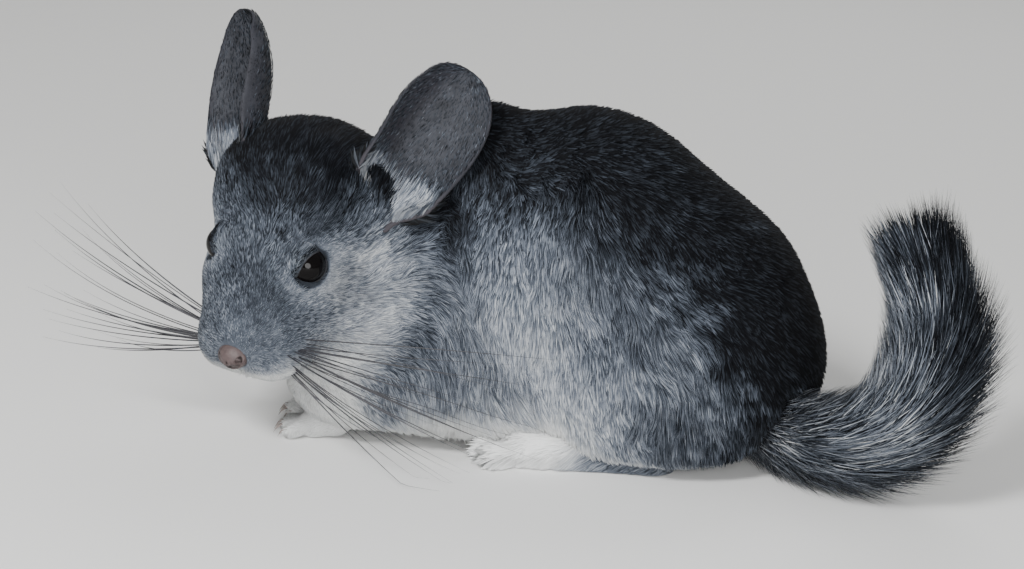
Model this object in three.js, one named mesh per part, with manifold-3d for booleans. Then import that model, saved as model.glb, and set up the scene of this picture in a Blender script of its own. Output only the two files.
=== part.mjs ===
// A chinchilla, life size, crouched at rest: the body side on, the head turned to its left and lowered,
// and the bushy tail laid out behind it and curled up. Millimetres, +Z up, resting on z = 0.
// The body points along -X and its left side is towards -Y. All sizes have the coat on.
import * as THREE from "three";
import { mergeVertices } from "three/addons/utils/BufferGeometryUtils.js";
import Module from "manifold-3d";

const wasm = await Module();
wasm.setup();

// Driving sizes.
const BODY_LENGTH = 150; // chest to rump
const BODY_WIDTH = 104;
const BODY_HEIGHT = 113;
const HEAD_LENGTH = 74; // nose to nape
const HEAD_WIDTH = 60;
const HEAD_TURN = 62; // degrees from the body's line towards its left
const HEAD_DROP = 31; // degrees that the face is lowered
const HEAD_LEAN = 3; // degrees that its left side is lower
const EYE_RADIUS = 6.2;
const EAR_LENGTH = 49;
const EAR_WIDTH = 38;
const EAR_THICKNESS = 1.2;
const EAR_SUNK = 9; // of its base, inside the coat
const NOSE_WIDTH = 10;
const WHISKER_COUNT = 11; // on each side
const WHISKER_LENGTH = 95;
const WHISKER_THICKNESS = 0.6;
const TAIL_CORE_RADIUS = 8;
const TAIL_BRUSH_RADIUS = 18;
const TAIL_FAN = 0.4; // more on the outer side of its curl
const LOCK_TIERS = 10; // rows of locks along the tail
const LOCKS_IN_TIER = 6;
const LOCK_LENGTH = 27;
const LOCK_WIDTH = 11.5;
const LOCK_DEPTH = 3;
const HIND_FOOT_LENGTH = 56;
const FOREPAW_LENGTH = 17;
const GAP = 0.3; // left between pieces that touch
const BELLY_CLEARANCE = 1.5; // of the coat above the floor

const vec = (x, y, z) => new THREE.Vector3(x, y, z);
const rad = THREE.MathUtils.degToRad;
const lerp = THREE.MathUtils.lerp;
const SIDES = { left: 1, right: -1 };

let seed = 37;
function random() {
  seed = (seed * 16807) % 2147483647;
  return seed / 2147483647;
}
const vary = (value, share) => value * (1 + share * (2 * random() - 1));

// Soft forms, as distance fields: below zero inside.

function egg(centre, radii, turn = new THREE.Quaternion()) {
  const back = turn.clone().invert();
  const local = vec();
  const near = vec();
  const slope = vec();
  return (point) => {
    local.copy(point).sub(centre).applyQuaternion(back);
    near.copy(local).divide(radii);
    slope.copy(near).divide(radii);
    const reach = near.length();
    return reach < 1e-6 ? -radii.x : (reach * (reach - 1)) / slope.length();
  };
}

function limb(from, to, fromRadius, toRadius) {
  const along = to.clone().sub(from);
  const size = along.lengthSq();
  const local = vec();
  return (point) => {
    local.copy(point).sub(from);
    const share = THREE.MathUtils.clamp(local.dot(along) / size, 0, 1);
    return local.addScaledVector(along, -share).length() - lerp(fromRadius, toRadius, share);
  };
}

const fillet = (a, b, width) => (Math.max(width - Math.abs(a - b), 0) ** 2 / width) / 4;

// Joins forms with a soft fillet of about the given width.
const melt = (width, ...forms) => (point) =>
  forms.map((form) => form(point)).reduce((a, b) => Math.min(a, b) - fillet(a, b, width));

// Presses a form flat where it would go below a level.
const restOn = (level, width, form) => (point) => {
  const inside = form(point);
  const below = level - point.z;
  return Math.max(inside, below) + fillet(inside, below, width);
};

const grown = (form, by) => (point) => form(point) - by;

// Solids.

function solidOf(geometry) {
  const bare = geometry.clone();
  for (const name of Object.keys(bare.attributes)) {
    if (name !== "position") bare.deleteAttribute(name);
  }
  const merged = mergeVertices(bare, 1e-4);
  return new wasm.Manifold(
    new wasm.Mesh({
      numProp: 3,
      vertProperties: new Float32Array(merged.attributes.position.array),
      triVerts: new Uint32Array(merged.index.array),
    }),
  );
}

const join = (solids) => solids.reduce((all, solid) => all.add(solid));
const cut = (solid, ...tools) => tools.reduce((left, tool) => left.subtract(tool), solid);

// Where a ray that comes in from outside first meets a form.
function touch(form, centre, ray, reach) {
  const point = vec();
  let far = reach;
  let away = 1;
  while (far > 1 && away > 0.01) {
    point.copy(centre).addScaledVector(ray, far);
    away = form(point);
    far -= Math.max(away * 0.5, 0.004);
  }
  return point;
}

// Draws a ball's points in along their rays until they meet a form, which gives one closed skin.
function wrap(centre, detail, form, reach) {
  const ball = new THREE.IcosahedronGeometry(1, detail);
  const places = ball.attributes.position;
  const ray = vec();
  for (let i = 0; i < places.count; i++) {
    ray.fromBufferAttribute(places, i).normalize();
    const point = touch(form, centre, ray, reach);
    places.setXYZ(i, point.x, point.y, point.z);
  }
  return solidOf(ball);
}

// An oval ball, for cutting and for small pads.
function ball(centre, radii, turn = new THREE.Quaternion(), sides = 14) {
  return solidOf(
    new THREE.SphereGeometry(1, sides, Math.round(sides / 2))
      .scale(radii.x, radii.y, radii.z)
      .applyQuaternion(turn)
      .translate(centre.x, centre.y, centre.z),
  );
}

// All that lies beyond a plane, on the side its normal points to, as far as the part needs.
function beyond(point, normal) {
  const size = 400;
  const way = normal.clone().normalize();
  const turn = new THREE.Quaternion().setFromUnitVectors(vec(0, 0, 1), way);
  const centre = point.clone().addScaledVector(way, size / 2);
  const block = new THREE.BoxGeometry(size, size, size).applyQuaternion(turn);
  return solidOf(block.translate(centre.x, centre.y, centre.z));
}

const floorBlock = beyond(vec(0, 0, 0), vec(0, 0, -1));

// A tapered strand along a curve, with half its width and half its depth for each share of its length.
function strand(curve, out, rings, sides, section, pointed = true) {
  const shape = pointed
    ? new THREE.ConeGeometry(1, 1, sides, rings)
    : new THREE.CylinderGeometry(1, 1, 1, sides, rings);
  const places = shape.attributes.position;
  for (let i = 0; i < places.count; i++) {
    const share = THREE.MathUtils.clamp(places.getY(i) + 0.5, 0, 1);
    const across = vec(places.getX(i), places.getZ(i), 0);
    if (across.length() > 1e-6) across.normalize();
    const [width, depth] = section(share);
    const along = curve.getTangent(share);
    const side = along.clone().cross(out).normalize();
    const up = side.clone().cross(along);
    const point = curve.getPoint(share);
    point.addScaledVector(side, across.x * width).addScaledVector(up, across.y * depth);
    places.setXYZ(i, point.x, point.y, point.z);
  }
  return solidOf(shape);
}

// A thin curved sheet of one thickness, its two faces split alike.
function vane(columns, rows, place) {
  const grid = new THREE.PlaneGeometry(1, 1, columns, rows);
  const places = grid.attributes.position;
  const count = places.count;
  const corners = [];
  for (const face of [0, 1]) {
    for (let i = 0; i < count; i++) {
      corners.push(...place(2 * places.getX(i), places.getY(i) + 0.5, face).toArray());
    }
  }
  const faces = [];
  const index = grid.index.array;
  for (let i = 0; i < index.length; i += 3) {
    faces.push(index[i], index[i + 1], index[i + 2]);
    faces.push(index[i] + count, index[i + 2] + count, index[i + 1] + count);
  }
  const wide = columns + 1;
  const rim = [];
  for (let i = 0; i < columns; i++) rim.push(i);
  for (let j = 0; j < rows; j++) rim.push(j * wide + columns);
  for (let i = columns; i > 0; i--) rim.push(rows * wide + i);
  for (let j = rows; j > 0; j--) rim.push(j * wide);
  rim.forEach((a, i) => {
    const b = rim[(i + 1) % rim.length];
    faces.push(a, b, b + count, a, b + count, a + count);
  });
  const sheet = new THREE.BufferGeometry();
  sheet.setAttribute("position", new THREE.BufferAttribute(new Float32Array(corners), 3));
  sheet.setIndex(faces);
  const solid = solidOf(sheet);
  if (solid.volume() > 0) return solid;
  return solidOf(sheet.setIndex(faces.reverse()));
}

// The head's own frame: x to the nose, y to its left, z to its crown, from midway between the eyes.
const headCentre = vec(-73, -25, 59);
const headTurn = new THREE.Quaternion().setFromEuler(
  new THREE.Euler(rad(-HEAD_LEAN), rad(HEAD_DROP), rad(180 + HEAD_TURN), "ZYX"),
);
const headScale = vec(HEAD_LENGTH / 74, HEAD_WIDTH / 56, 1);
const headWay = (x, y, z) => vec(x, y, z).applyQuaternion(headTurn);
const inHead = (x, y, z) => vec(x, y, z).multiply(headScale).applyQuaternion(headTurn).add(headCentre);
const headEgg = (x, y, z, rx, ry, rz) =>
  egg(inHead(x, y, z), vec(rx, ry, rz).multiply(headScale), headTurn);

const headForm = melt(
  9,
  headEgg(-19, 0, 9, 28, 31, 29),
  headEgg(6, 0, -2, 23, 23, 20),
  headEgg(-7, 15, -12, 22, 13.5, 14),
  headEgg(-7, -15, -12, 22, 13.5, 14),
  limb(inHead(8, 0, -2), inHead(24.5, 0, -6), 19, 12.5),
  headEgg(23, 8.5, -12, 13, 9.5, 9.5),
  headEgg(23, -8.5, -12, 13, 9.5, 9.5),
  headEgg(15, 0, -19, 14, 10, 7.5),
);

// The body.
const bodyScale = vec(BODY_LENGTH / 150, BODY_WIDTH / 104, BODY_HEIGHT / 113);
const at = (x, y, z) => vec(x, y, z).multiply(bodyScale);
const bodyEgg = (x, y, z, rx, ry, rz) => egg(at(x, y, z), at(rx, ry, rz));
const HIP = { x: 50, y: 33, z: 31 };
const bodyForm = restOn(
  BELLY_CLEARANCE,
  9,
  melt(
    16,
    bodyEgg(22, 0, 59, 50, 47, 52),
    bodyEgg(54, 0, 44, 45, 46, 44),
    bodyEgg(66, 0, 30, 38, 42, 30),
    bodyEgg(-16, 1, 61, 34, 27, 50),
    bodyEgg(-22, 0, 42, 34, 38, 38),
    bodyEgg(-48, -12, 26, 26, 27, 26),
    bodyEgg(-6, 0, 22, 52, 41, 24),
    bodyEgg(HIP.x, HIP.y, HIP.z, 34, 19, 33),
    bodyEgg(HIP.x, -HIP.y, HIP.z, 34, 19, 33),
  ),
);
const neckForm = limb(at(-32, -2, 60), inHead(-28, 0, -3), 29, 25);
const trunkForm = melt(12, bodyForm, neckForm);
const wholeForm = melt(12, trunkForm, headForm);

const headMiddle = inHead(-8, 0, -2);
const headSkin = wrap(headMiddle, 9, wholeForm, 150);
const neckSkin = wrap(at(-48, -4, 58), 6, wholeForm, 190);
const trunkSkin = wrap(at(24, 0, 52), 8, trunkForm, 190);
const neckRoom = wrap(at(-48, -4, 58), 6, grown(wholeForm, GAP), 190);
const trunkRoom = wrap(at(24, 0, 52), 8, grown(trunkForm, GAP), 190);
const headRoom = wrap(headMiddle, 9, grown(wholeForm, GAP), 150);

// Where the head and the trunk end at the neck.
const headReach = (grow) =>
  ball(inHead(3, 0, 8), vec(43, 40, 43).multiply(headScale).addScalar(grow), headTurn, 18);
const trunkEnd = at(-36, 0, 58);
const trunkEndWay = vec(-1, 0.1, 0.15).normalize();

const material = (colour, roughness) =>
  new THREE.MeshStandardMaterial({ color: colour, roughness, metalness: 0 });
const finishes = {
  coat: material(0x5b606c, 0.9),
  belly: material(0xd9dadd, 0.9),
  ear: material(0x574f57, 0.7),
  eye: material(0x060505, 0.08),
  nose: material(0x8a6f6c, 0.5),
  whisker: material(0x17161a, 0.6),
  foot: material(0xc9c2c0, 0.8),
  tail: material(0x4c505a, 0.9),
};

const chinchilla = new THREE.Group();

const largest = (solid) => solid.decompose().sort((a, b) => b.volume() - a.volume())[0];

function show(name, solid, finish) {
  const made = largest(solid).getMesh();
  const geometry = new THREE.BufferGeometry();
  geometry.setAttribute("position", new THREE.BufferAttribute(made.vertProperties, 3));
  geometry.setIndex(new THREE.BufferAttribute(made.triVerts, 1));
  const piece = new THREE.Mesh(geometry, finishes[finish]);
  piece.name = name;
  chinchilla.add(piece);
}

// Eyes and their lids.
const eyeWay = (side) => headWay(0.42, side * 0.87, 0.26).normalize();
function eyeCentre(side) {
  const socket = touch(wholeForm, inHead(0, 0, 10), headWay(0.52, side, 0.14).normalize(), 60);
  return socket.addScaledVector(eyeWay(side), -EYE_RADIUS * 0.45);
}

function eyeball(side, radius) {
  return ball(eyeCentre(side), vec(radius, radius, radius), headTurn, 14);
}

function lids(side) {
  const ring = new THREE.TorusGeometry(EYE_RADIUS * 1.04, 1.6, 5, 16).scale(1.12, 0.94, 1);
  const level = headWay(1, 0, -0.15);
  const out = eyeWay(side);
  const up = out.clone().cross(level).normalize();
  const along = up.clone().cross(out).normalize();
  const frame = new THREE.Matrix4().makeBasis(along, up, out);
  frame.setPosition(eyeCentre(side).addScaledVector(out, 2.4));
  return solidOf(ring.applyMatrix4(frame));
}

// Nose pad with its two nostrils, and the cleft and line of the mouth.
const nosePlace = inHead(35.5, 0, -7);
const nosePad = (grow) =>
  ball(nosePlace, vec(5 + grow, NOSE_WIDTH / 2 + grow, 4.2 + grow), headTurn, 12);
const nostrils = Object.values(SIDES).map((side) => {
  const slope = new THREE.Quaternion().setFromAxisAngle(vec(1, 0, 0), rad(side * 35));
  const slant = headTurn.clone().multiply(slope);
  return ball(inHead(40, side * 2.9, -7.5), vec(2.6, 1.6, 0.7), slant, 10);
});
const cleft = ball(inHead(38, 0, -14), vec(5, 0.55, 5), headTurn, 12);
const mouthLine = ball(inHead(27, 0, -19.6), vec(13, 8, 0.7), headTurn, 12);

// Whisker pads, each with its spray of long whiskers.
const PAD = { x: 26, y: 10.5, z: -12 };
const padTool = (side, grow) =>
  ball(inHead(PAD.x, side * PAD.y, PAD.z), vec(12 + grow, 10.5 + grow, 9 + grow), headTurn, 12);

const WHISKER_RISE = { 1: -0.1, "-1": 0.12 }; // of each side's spray, from level
function whisker(side, index) {
  const row = index % 3;
  const share = index / (WHISKER_COUNT - 1);
  const spot = headWay(lerp(0.35, -0.35, share), side, 0.3 - 0.3 * row).normalize();
  const root = touch(wholeForm, inHead(PAD.x, side * 5, PAD.z), spot, 40).addScaledVector(spot, -2);
  const rise = WHISKER_RISE[side] + 0.16 - 0.16 * row;
  const way = headWay(lerp(0.45, -0.15, share), side, rise).normalize();
  const size = vary(WHISKER_LENGTH * lerp(0.75, 1, share), 0.08);
  const droop = headWay(-0.22, 0, -0.12).multiplyScalar(size);
  const curve = new THREE.QuadraticBezierCurve3(
    root,
    root.clone().addScaledVector(way, size * 0.3).addScaledVector(spot, size * 0.15),
    root.clone().addScaledVector(way, size * 0.9).add(droop),
  );
  const half = WHISKER_THICKNESS / 2;
  const section = (along) => [lerp(half * 1.5, half, along), lerp(half * 1.5, half, along)];
  return strand(curve, vec(0, 0, 1), 3, 3, section);
}

// Ears: thin cups, rolled in at the front edge.
const earRoot = { left: inHead(-20, 28, 19), right: inHead(-20, -26, 20) };
const earLean = { left: vec(24, 12, 41), right: vec(0, 12, 42) };
const earFace = { left: vec(0.04, -0.98, 0.1), right: vec(-0.84, -0.52, 0.1) };

function ear(name) {
  const along = earLean[name].clone().normalize();
  const across = along.clone().cross(earFace[name]).normalize();
  const open = across.clone().cross(along);
  const root = earRoot[name].clone().addScaledVector(along, -EAR_SUNK);
  const total = EAR_LENGTH + EAR_SUNK;
  return vane(8, 9, (u, v, face) => {
    const rise = Math.sin((v * Math.PI) / 2);
    const top = Math.sqrt(Math.max(1 - ((v - 0.5) / 0.505) ** 2, 0.02));
    const stem = lerp(0.62, 1, Math.sin(Math.min(v, 0.5) * Math.PI));
    const half = (EAR_WIDTH / 2) * (v < 0.5 ? stem : top);
    const bend = lerp(1.9, 0.7, Math.min(v * 1.3, 1));
    const radius = half / bend;
    const angle = bend * u;
    const shell = radius + (face ? EAR_THICKNESS : 0);
    return root
      .clone()
      .addScaledVector(along, total * lerp(v, rise, 0.25))
      .addScaledVector(across, Math.sin(angle) * shell)
      .addScaledVector(open, radius - Math.cos(angle) * shell - half * 0.4);
  });
}

// Legs and feet. Each foot is a flat-soled pad with toes.
function foot(heel, pad, toes, radii, grow) {
  const base = wrap(
    heel.clone().lerp(pad, 0.5),
    radii.detail,
    grown(limb(heel, pad, radii.heel, radii.pad), grow),
    heel.distanceTo(pad) + 30,
  );
  const fingers = toes.map((tip) =>
    wrap(pad.clone().lerp(tip, 0.5), 1, grown(limb(pad, tip, radii.pad * 0.5, radii.toe), grow), 40),
  );
  return cut(join([base, ...fingers]), floorBlock);
}

const forepawPad = (side) => vec(-61, side * -9 - 11, 4);
function forepaw(side, grow = 0) {
  const pad = forepawPad(side);
  const heel = pad.clone().add(vec(FOREPAW_LENGTH * 0.3, 0, 1.5));
  const toes = [-1.3, -0.45, 0.4, 1.2].map((share) =>
    pad.clone().add(vec(-FOREPAW_LENGTH * (0.62 - 0.12 * Math.abs(share)), share * 4.6, -1.6)),
  );
  return foot(heel, pad, toes, { heel: 4.5, pad: 5, toe: 1.9, detail: 1 }, grow);
}

const hindFootBall = (side) => at(12, side * -31, 4);
function hindFoot(side, grow = 0) {
  const pad = hindFootBall(side);
  const heel = pad.clone().add(vec(HIND_FOOT_LENGTH * 0.68, 0, 1));
  const toes = [-1, -0.1, 0.8].map((share) =>
    pad.clone().add(vec(-HIND_FOOT_LENGTH * (0.24 - 0.04 * Math.abs(share)), share * 5.4, -1.4)),
  );
  return foot(heel, pad, toes, { heel: 6, pad: 6, toe: 2.3, detail: 2 }, grow);
}

function foreleg(side, grow = 0) {
  const elbow = forepawPad(side).add(vec(10, 0, 12));
  const wrist = forepawPad(side).add(vec(7, 0, 3));
  const form = grown(limb(elbow, wrist, 8, 6), grow);
  const skin = wrap(elbow.clone().lerp(wrist, 0.5), 1, form, 40);
  return cut(skin, beyond(vec(0, 0, 1.5 - grow), vec(0, 0, -1)));
}

const thigh = (side, grow = 0) =>
  ball(at(HIP.x + 2, side * -(HIP.y + 9), HIP.z - 1), at(33, 20, 33).addScalar(grow), undefined, 14);

// The tail's spine, from its root under the rump, along the floor and up to its tip.
const spine = new THREE.CatmullRomCurve3([
  vec(74, 0, 14),
  vec(90, -20, 12.5),
  vec(107, -41, 16),
  vec(122, -50, 24),
  vec(131, -51, 38),
  vec(134, -49, 54),
  vec(132, -46, 67),
  vec(127, -44, 78),
]);

// How far the brush stands from the spine, for each share of the tail's length.
function brushRadius(share) {
  const root = lerp(0.6, 1, Math.min(share / 0.4, 1));
  const tip = Math.sqrt(Math.max(1 - Math.max((share - 0.8) / 0.3, 0) ** 2, 0.06));
  return TAIL_BRUSH_RADIUS * root * tip;
}

// A point beside the spine, which runs on straight past its end.
const STEPS = 100;
const tailFrames = spine.computeFrenetFrames(STEPS, false);
const tailLength = spine.getLength();
function besideSpine(share, angle, radius) {
  const step = Math.round(Math.min(share, 1) * STEPS);
  return spine
    .getPointAt(Math.min(share, 1))
    .addScaledVector(tailFrames.tangents[step], Math.max(share - 1, 0) * tailLength)
    .addScaledVector(tailFrames.normals[step], Math.cos(angle) * radius)
    .addScaledVector(tailFrames.binormals[step], Math.sin(angle) * radius);
}

function tailLock(share, angle) {
  const length = vary(LOCK_LENGTH, 0.12) / tailLength;
  const sweep = random() - 0.5;
  const reach = vary(1, 0.07);
  const steps = [
    [0, 0.25, 0],
    [0.25, 0.7, 0.1],
    [0.6, 0.95, 0.25],
    [1, 1, 0.45],
  ];
  const points = steps.map(([along, lift, turn]) => {
    const place = Math.min(share + along * length, 1.04);
    const way = besideSpine(place, angle, 1).sub(besideSpine(place, angle, 0));
    const fan = 1 + TAIL_FAN * Math.max(way.x, 0) * THREE.MathUtils.smoothstep(place, 0.25, 0.55);
    const point = besideSpine(place, angle + turn * sweep, brushRadius(place) * fan * lift * reach);
    point.z = Math.max(point.z, LOCK_DEPTH);
    return point;
  });
  const out = points[2].clone().sub(besideSpine(share, 0, 0)).normalize();
  const section = (along) => {
    const taper = Math.sqrt(Math.max(1 - along ** 2, 0.004));
    return [(LOCK_WIDTH / 2) * taper * lerp(0.8, 1.1, along), (LOCK_DEPTH / 2) * taper];
  };
  return strand(new THREE.CatmullRomCurve3(points), out, 4, 4, section);
}

const tailCore = strand(
  spine,
  vec(0, -1, 0),
  16,
  8,
  (share) => {
    const radius = Math.min(TAIL_CORE_RADIUS, brushRadius(share) * 0.5) * (share < 0.97 ? 1 : 0.6);
    return [radius, radius];
  },
  false,
);
const locks = [];
for (let tier = 0; tier < LOCK_TIERS; tier++) {
  const share = lerp(0.01, 0.86, tier / (LOCK_TIERS - 1));
  for (let place = 0; place < LOCKS_IN_TIER; place++) {
    const turn = place + 0.5 * (tier % 2) + 0.15 * (2 * random() - 1);
    locks.push(tailLock(share, (turn / LOCKS_IN_TIER) * 2 * Math.PI));
  }
}
const brush = join([tailCore, ...locks]);

// A thin funnel that parts the brush along the lie of its hair.
function funnel(share) {
  const reach = TAIL_BRUSH_RADIUS * 2;
  const profile = [
    new THREE.Vector2(0, 0),
    new THREE.Vector2(reach, reach * 0.8),
    new THREE.Vector2(reach, reach * 0.8 + GAP * 1.5),
    new THREE.Vector2(0, GAP * 1.5),
  ];
  const turn = new THREE.Quaternion().setFromUnitVectors(vec(0, 1, 0), spine.getTangent(share));
  const place = spine.getPoint(share);
  const sheet = new THREE.LatheGeometry(profile, 20).applyQuaternion(turn);
  return solidOf(sheet.translate(place.x, place.y, place.z));
}
const TAIL_PARTINGS = [0.36, 0.55, 0.76];
const TAIL_NAMES = ["tail_root", "tail_bend", "tail_rise", "tail_tip"];

const tailPieces = cut(brush, trunkRoom, floorBlock, ...TAIL_PARTINGS.map(funnel))
  .decompose()
  .sort((a, b) => b.volume() - a.volume())
  .slice(0, TAIL_NAMES.length);
function nearestShare(solid) {
  const { min, max } = solid.boundingBox();
  const middle = vec(...min).add(vec(...max)).multiplyScalar(0.5);
  const shares = Array.from({ length: 101 }, (_, index) => index / 100);
  return shares.reduce((a, b) =>
    spine.getPoint(a).distanceTo(middle) < spine.getPoint(b).distanceTo(middle) ? a : b,
  );
}
tailPieces
  .sort((a, b) => nearestShare(a) - nearestShare(b))
  .forEach((piece, index) => show(TAIL_NAMES[index], piece, "tail"));

// The solids, each cut clear of its neighbours.
const sides = Object.entries(SIDES);
const faceTools = [nosePad(GAP), cleft, mouthLine];
for (const [, side] of sides) faceTools.push(eyeball(side, EYE_RADIUS + GAP), padTool(side, GAP));
const headSolid = join([headSkin, lids(1), lids(-1)]);
show("head", cut(headSolid.intersect(headReach(0)), ...faceTools), "coat");
show("nose", cut(nosePad(0), ...nostrils), "nose");

const limbRoom = sides.flatMap(([, side]) => [forepaw(side, GAP), foreleg(side, GAP), hindFoot(side, GAP)]);
show("neck", cut(neckSkin.intersect(beyond(trunkEnd, trunkEndWay)), headReach(GAP), ...limbRoom), "coat");
show(
  "torso",
  cut(
    trunkSkin,
    headReach(GAP),
    beyond(trunkEnd.clone().addScaledVector(trunkEndWay, -GAP), trunkEndWay),
    ...limbRoom,
    ...sides.map(([, side]) => thigh(side, GAP)),
  ),
  "coat",
);

for (const [name, side] of sides) {
  show(`${name}_eye`, eyeball(side, EYE_RADIUS), "eye");
  const roots = padTool(side, 0);
  const spray = join(Array.from({ length: WHISKER_COUNT }, (_, index) => whisker(side, index)));
  const bodyRooms = [cut(headRoom, roots), cut(neckRoom, headReach(0)), trunkRoom, ...limbRoom];
  const clear = cut(spray, floorBlock, ...bodyRooms);
  const pad = headSkin.intersect(roots).add(clear);
  show(`${name}_whisker_pad`, cut(pad, nosePad(GAP), cleft), "whisker");
  show(`${name}_ear`, cut(ear(name), headRoom, neckRoom, trunkRoom), "ear");
  show(`${name}_haunch`, cut(trunkSkin.intersect(thigh(side)), hindFoot(side, GAP)), "coat");
  show(`${name}_foreleg`, cut(foreleg(side), forepaw(side, GAP)), "coat");
  show(`${name}_forepaw`, forepaw(side), "foot");
  show(`${name}_hind_foot`, hindFoot(side), "foot");
}

// The part's frame has its origin on the floor, under the middle of the whole.
const bounds = new THREE.Box3().setFromObject(chinchilla, true);
const middle = bounds.getCenter(vec(0, 0, 0));
chinchilla.position.set(-middle.x, -middle.y, -bounds.min.z);

export default chinchilla;
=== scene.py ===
"""A crouching chinchilla: its skin, coat, tail, ears, eyes, nose, whiskers and claws, and the stage."""

import math
from contextlib import contextmanager

import bmesh
import bpy
import numpy as np
from mathutils import Euler, Matrix, Vector


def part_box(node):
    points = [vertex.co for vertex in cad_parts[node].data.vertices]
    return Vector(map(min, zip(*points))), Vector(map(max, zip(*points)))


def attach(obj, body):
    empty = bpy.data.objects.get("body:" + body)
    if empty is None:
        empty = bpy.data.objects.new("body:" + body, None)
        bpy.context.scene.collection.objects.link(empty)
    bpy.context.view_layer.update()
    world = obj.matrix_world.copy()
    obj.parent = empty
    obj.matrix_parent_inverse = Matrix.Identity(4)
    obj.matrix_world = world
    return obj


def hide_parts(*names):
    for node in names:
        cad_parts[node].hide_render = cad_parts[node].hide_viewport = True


bl_info = {
    "name": "Chinchilla",
    "version": (1, 0, 0),
    "blender": (4, 5, 0),
    "location": "3D View > Sidebar > Chinchilla",
    "description": "Makes a life-size crouching chinchilla with a solid mesh coat",
    "category": "Add Mesh",
}

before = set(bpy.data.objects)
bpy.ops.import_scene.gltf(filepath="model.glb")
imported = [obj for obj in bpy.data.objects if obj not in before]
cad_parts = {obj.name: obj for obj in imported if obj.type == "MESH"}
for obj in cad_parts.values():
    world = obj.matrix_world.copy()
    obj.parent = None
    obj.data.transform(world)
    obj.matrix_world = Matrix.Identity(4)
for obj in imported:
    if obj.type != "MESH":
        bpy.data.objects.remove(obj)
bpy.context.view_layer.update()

IMAGE_WIDTH = 1024
PIXEL = 0.33  # in millimetres, at the body
FLESH = (
    "head", "neck", "torso", "left_haunch", "right_haunch", "left_foreleg", "right_foreleg",
    "left_forepaw", "right_forepaw", "left_hind_foot", "right_hind_foot",
)
TAIL_NODES = ("tail_root", "tail_bend", "tail_rise", "tail_tip")
SIDES = {"left": 1, "right": -1}
PATCH = 0.003  # of the OFBake map, for one tuft


# Places are worked out in millimetres in the body's own frame, and moved to the model's frame at the end.


def vec(x, y, z):
    return np.array((x, y, z), float)


def unit(rows):
    rows = np.asarray(rows, float)
    return rows / np.maximum(np.linalg.norm(rows, axis=-1, keepdims=True), 1e-9)


def smooth(value, low, high):
    share = np.clip((value - low) / (high - low), 0, 1)
    return share * share * (3 - 2 * share)


def lerp(a, b, share):
    return a + (b - a) * share


def away_from(points, spot, radii=1):
    """How far rows of points are from a spot, in the radii of a blob round it."""
    return np.linalg.norm((points - spot) / radii, axis=1)


HEAD_CENTRE = vec(-73, -25, 59)
HEAD_SCALE = vec(1, 60 / 56, 1)
HEAD_TURN = np.array(Euler([math.radians(a) for a in (-3, 31, 242)], "XYZ").to_matrix())
HEAD_REACH = vec(52, 44, 50)  # the head's radii, with its coat
EYE_RADIUS = 6.2  # in the solids
EYE_DEPTH = 4.5  # of the eyeball's middle, under the coat
EYEBALL_RADIUS = 6.5
SOCKET_RADIUS = 6.4
OPENING_RADII = vec(9, 6.6, 5.2)  # of an eye's opening, out of it, along it and up
NOSE_RADII = vec(5.1, 5.3, 4.3)
FOREPAW_LENGTH = 17
HIND_FOOT_LENGTH = 56
HIP = vec(50, 33, 31)
BELLY_LEVEL = 1.5


def head_way(x, y, z):
    return HEAD_TURN @ vec(x, y, z)


def in_head(x, y, z):
    return HEAD_TURN @ (vec(x, y, z) * HEAD_SCALE) + HEAD_CENTRE


def to_head(points):
    return ((points - HEAD_CENTRE) @ HEAD_TURN) / HEAD_SCALE


# Soft forms: each gives, for rows of points, about how far outside it they are.


def egg(centre, radii, turn=None):
    def form(points):
        local = points - centre
        if turn is not None:
            local = local @ turn
        near = local / radii
        reach = np.linalg.norm(near, axis=1)
        slope = np.linalg.norm(near / radii, axis=1)
        return reach * (reach - 1) / np.maximum(slope, 1e-9)

    form.pieces = [("egg", centre, radii, turn)]
    return form


def limb(start, end, start_radius, end_radius):
    along = end - start
    size = along @ along

    def form(points):
        local = points - start
        share = np.clip(local @ along / size, 0, 1)
        away = np.linalg.norm(local - share[:, None] * along, axis=1)
        return away - lerp(start_radius, end_radius, share)

    form.pieces = [("limb", start, end, start_radius, end_radius)]
    return form


def fillet(a, b, width):
    return np.maximum(width - np.abs(a - b), 0) ** 2 / width / 4


def melt(width, *forms):
    def form(points):
        near = forms[0](points)
        for other in forms[1:]:
            value = other(points)
            near = np.minimum(near, value) - fillet(near, value, width)
        return near

    form.pieces = [piece for part in forms for piece in part.pieces]
    return form


def carve(near, tool, width):
    """Takes a tool out of a form, with a soft edge."""
    return np.maximum(near, -tool) + fillet(near, -tool, width)


def head_egg(x, y, z, rx, ry, rz):
    return egg(in_head(x, y, z), vec(rx, ry, rz) * HEAD_SCALE, HEAD_TURN)


HEAD_FORM = melt(
    9,
    head_egg(-19, 0, 9, 28, 31, 29),
    head_egg(6, 0, -2, 23, 23, 20),
    head_egg(-7, 15, -12, 22, 13.5, 14),
    head_egg(-7, -15, -12, 22, 13.5, 14),
    limb(in_head(8, 0, -2), in_head(24.5, 0, -6), 19, 12.5),
    head_egg(23, 8.5, -12, 13, 9.5, 9.5),
    head_egg(23, -8.5, -12, 13, 9.5, 9.5),
    head_egg(15, 0, -19, 14, 10, 7.5),
)
BODY_EGGS = melt(
    16,
    egg(vec(22, 0, 59), vec(50, 47, 52)),
    egg(vec(54, 0, 44), vec(45, 46, 44)),
    egg(vec(66, 0, 30), vec(38, 42, 30)),
    egg(vec(-16, 1, 61), vec(34, 27, 50)),
    egg(vec(-22, 0, 42), vec(34, 38, 38)),
    egg(vec(-48, -12, 26), vec(26, 27, 26)),
    egg(vec(-6, 0, 22), vec(52, 41, 24)),
    egg(HIP, vec(34, 19, 33)),
    egg(HIP * vec(1, -1, 1), vec(34, 19, 33)),
)
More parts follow.
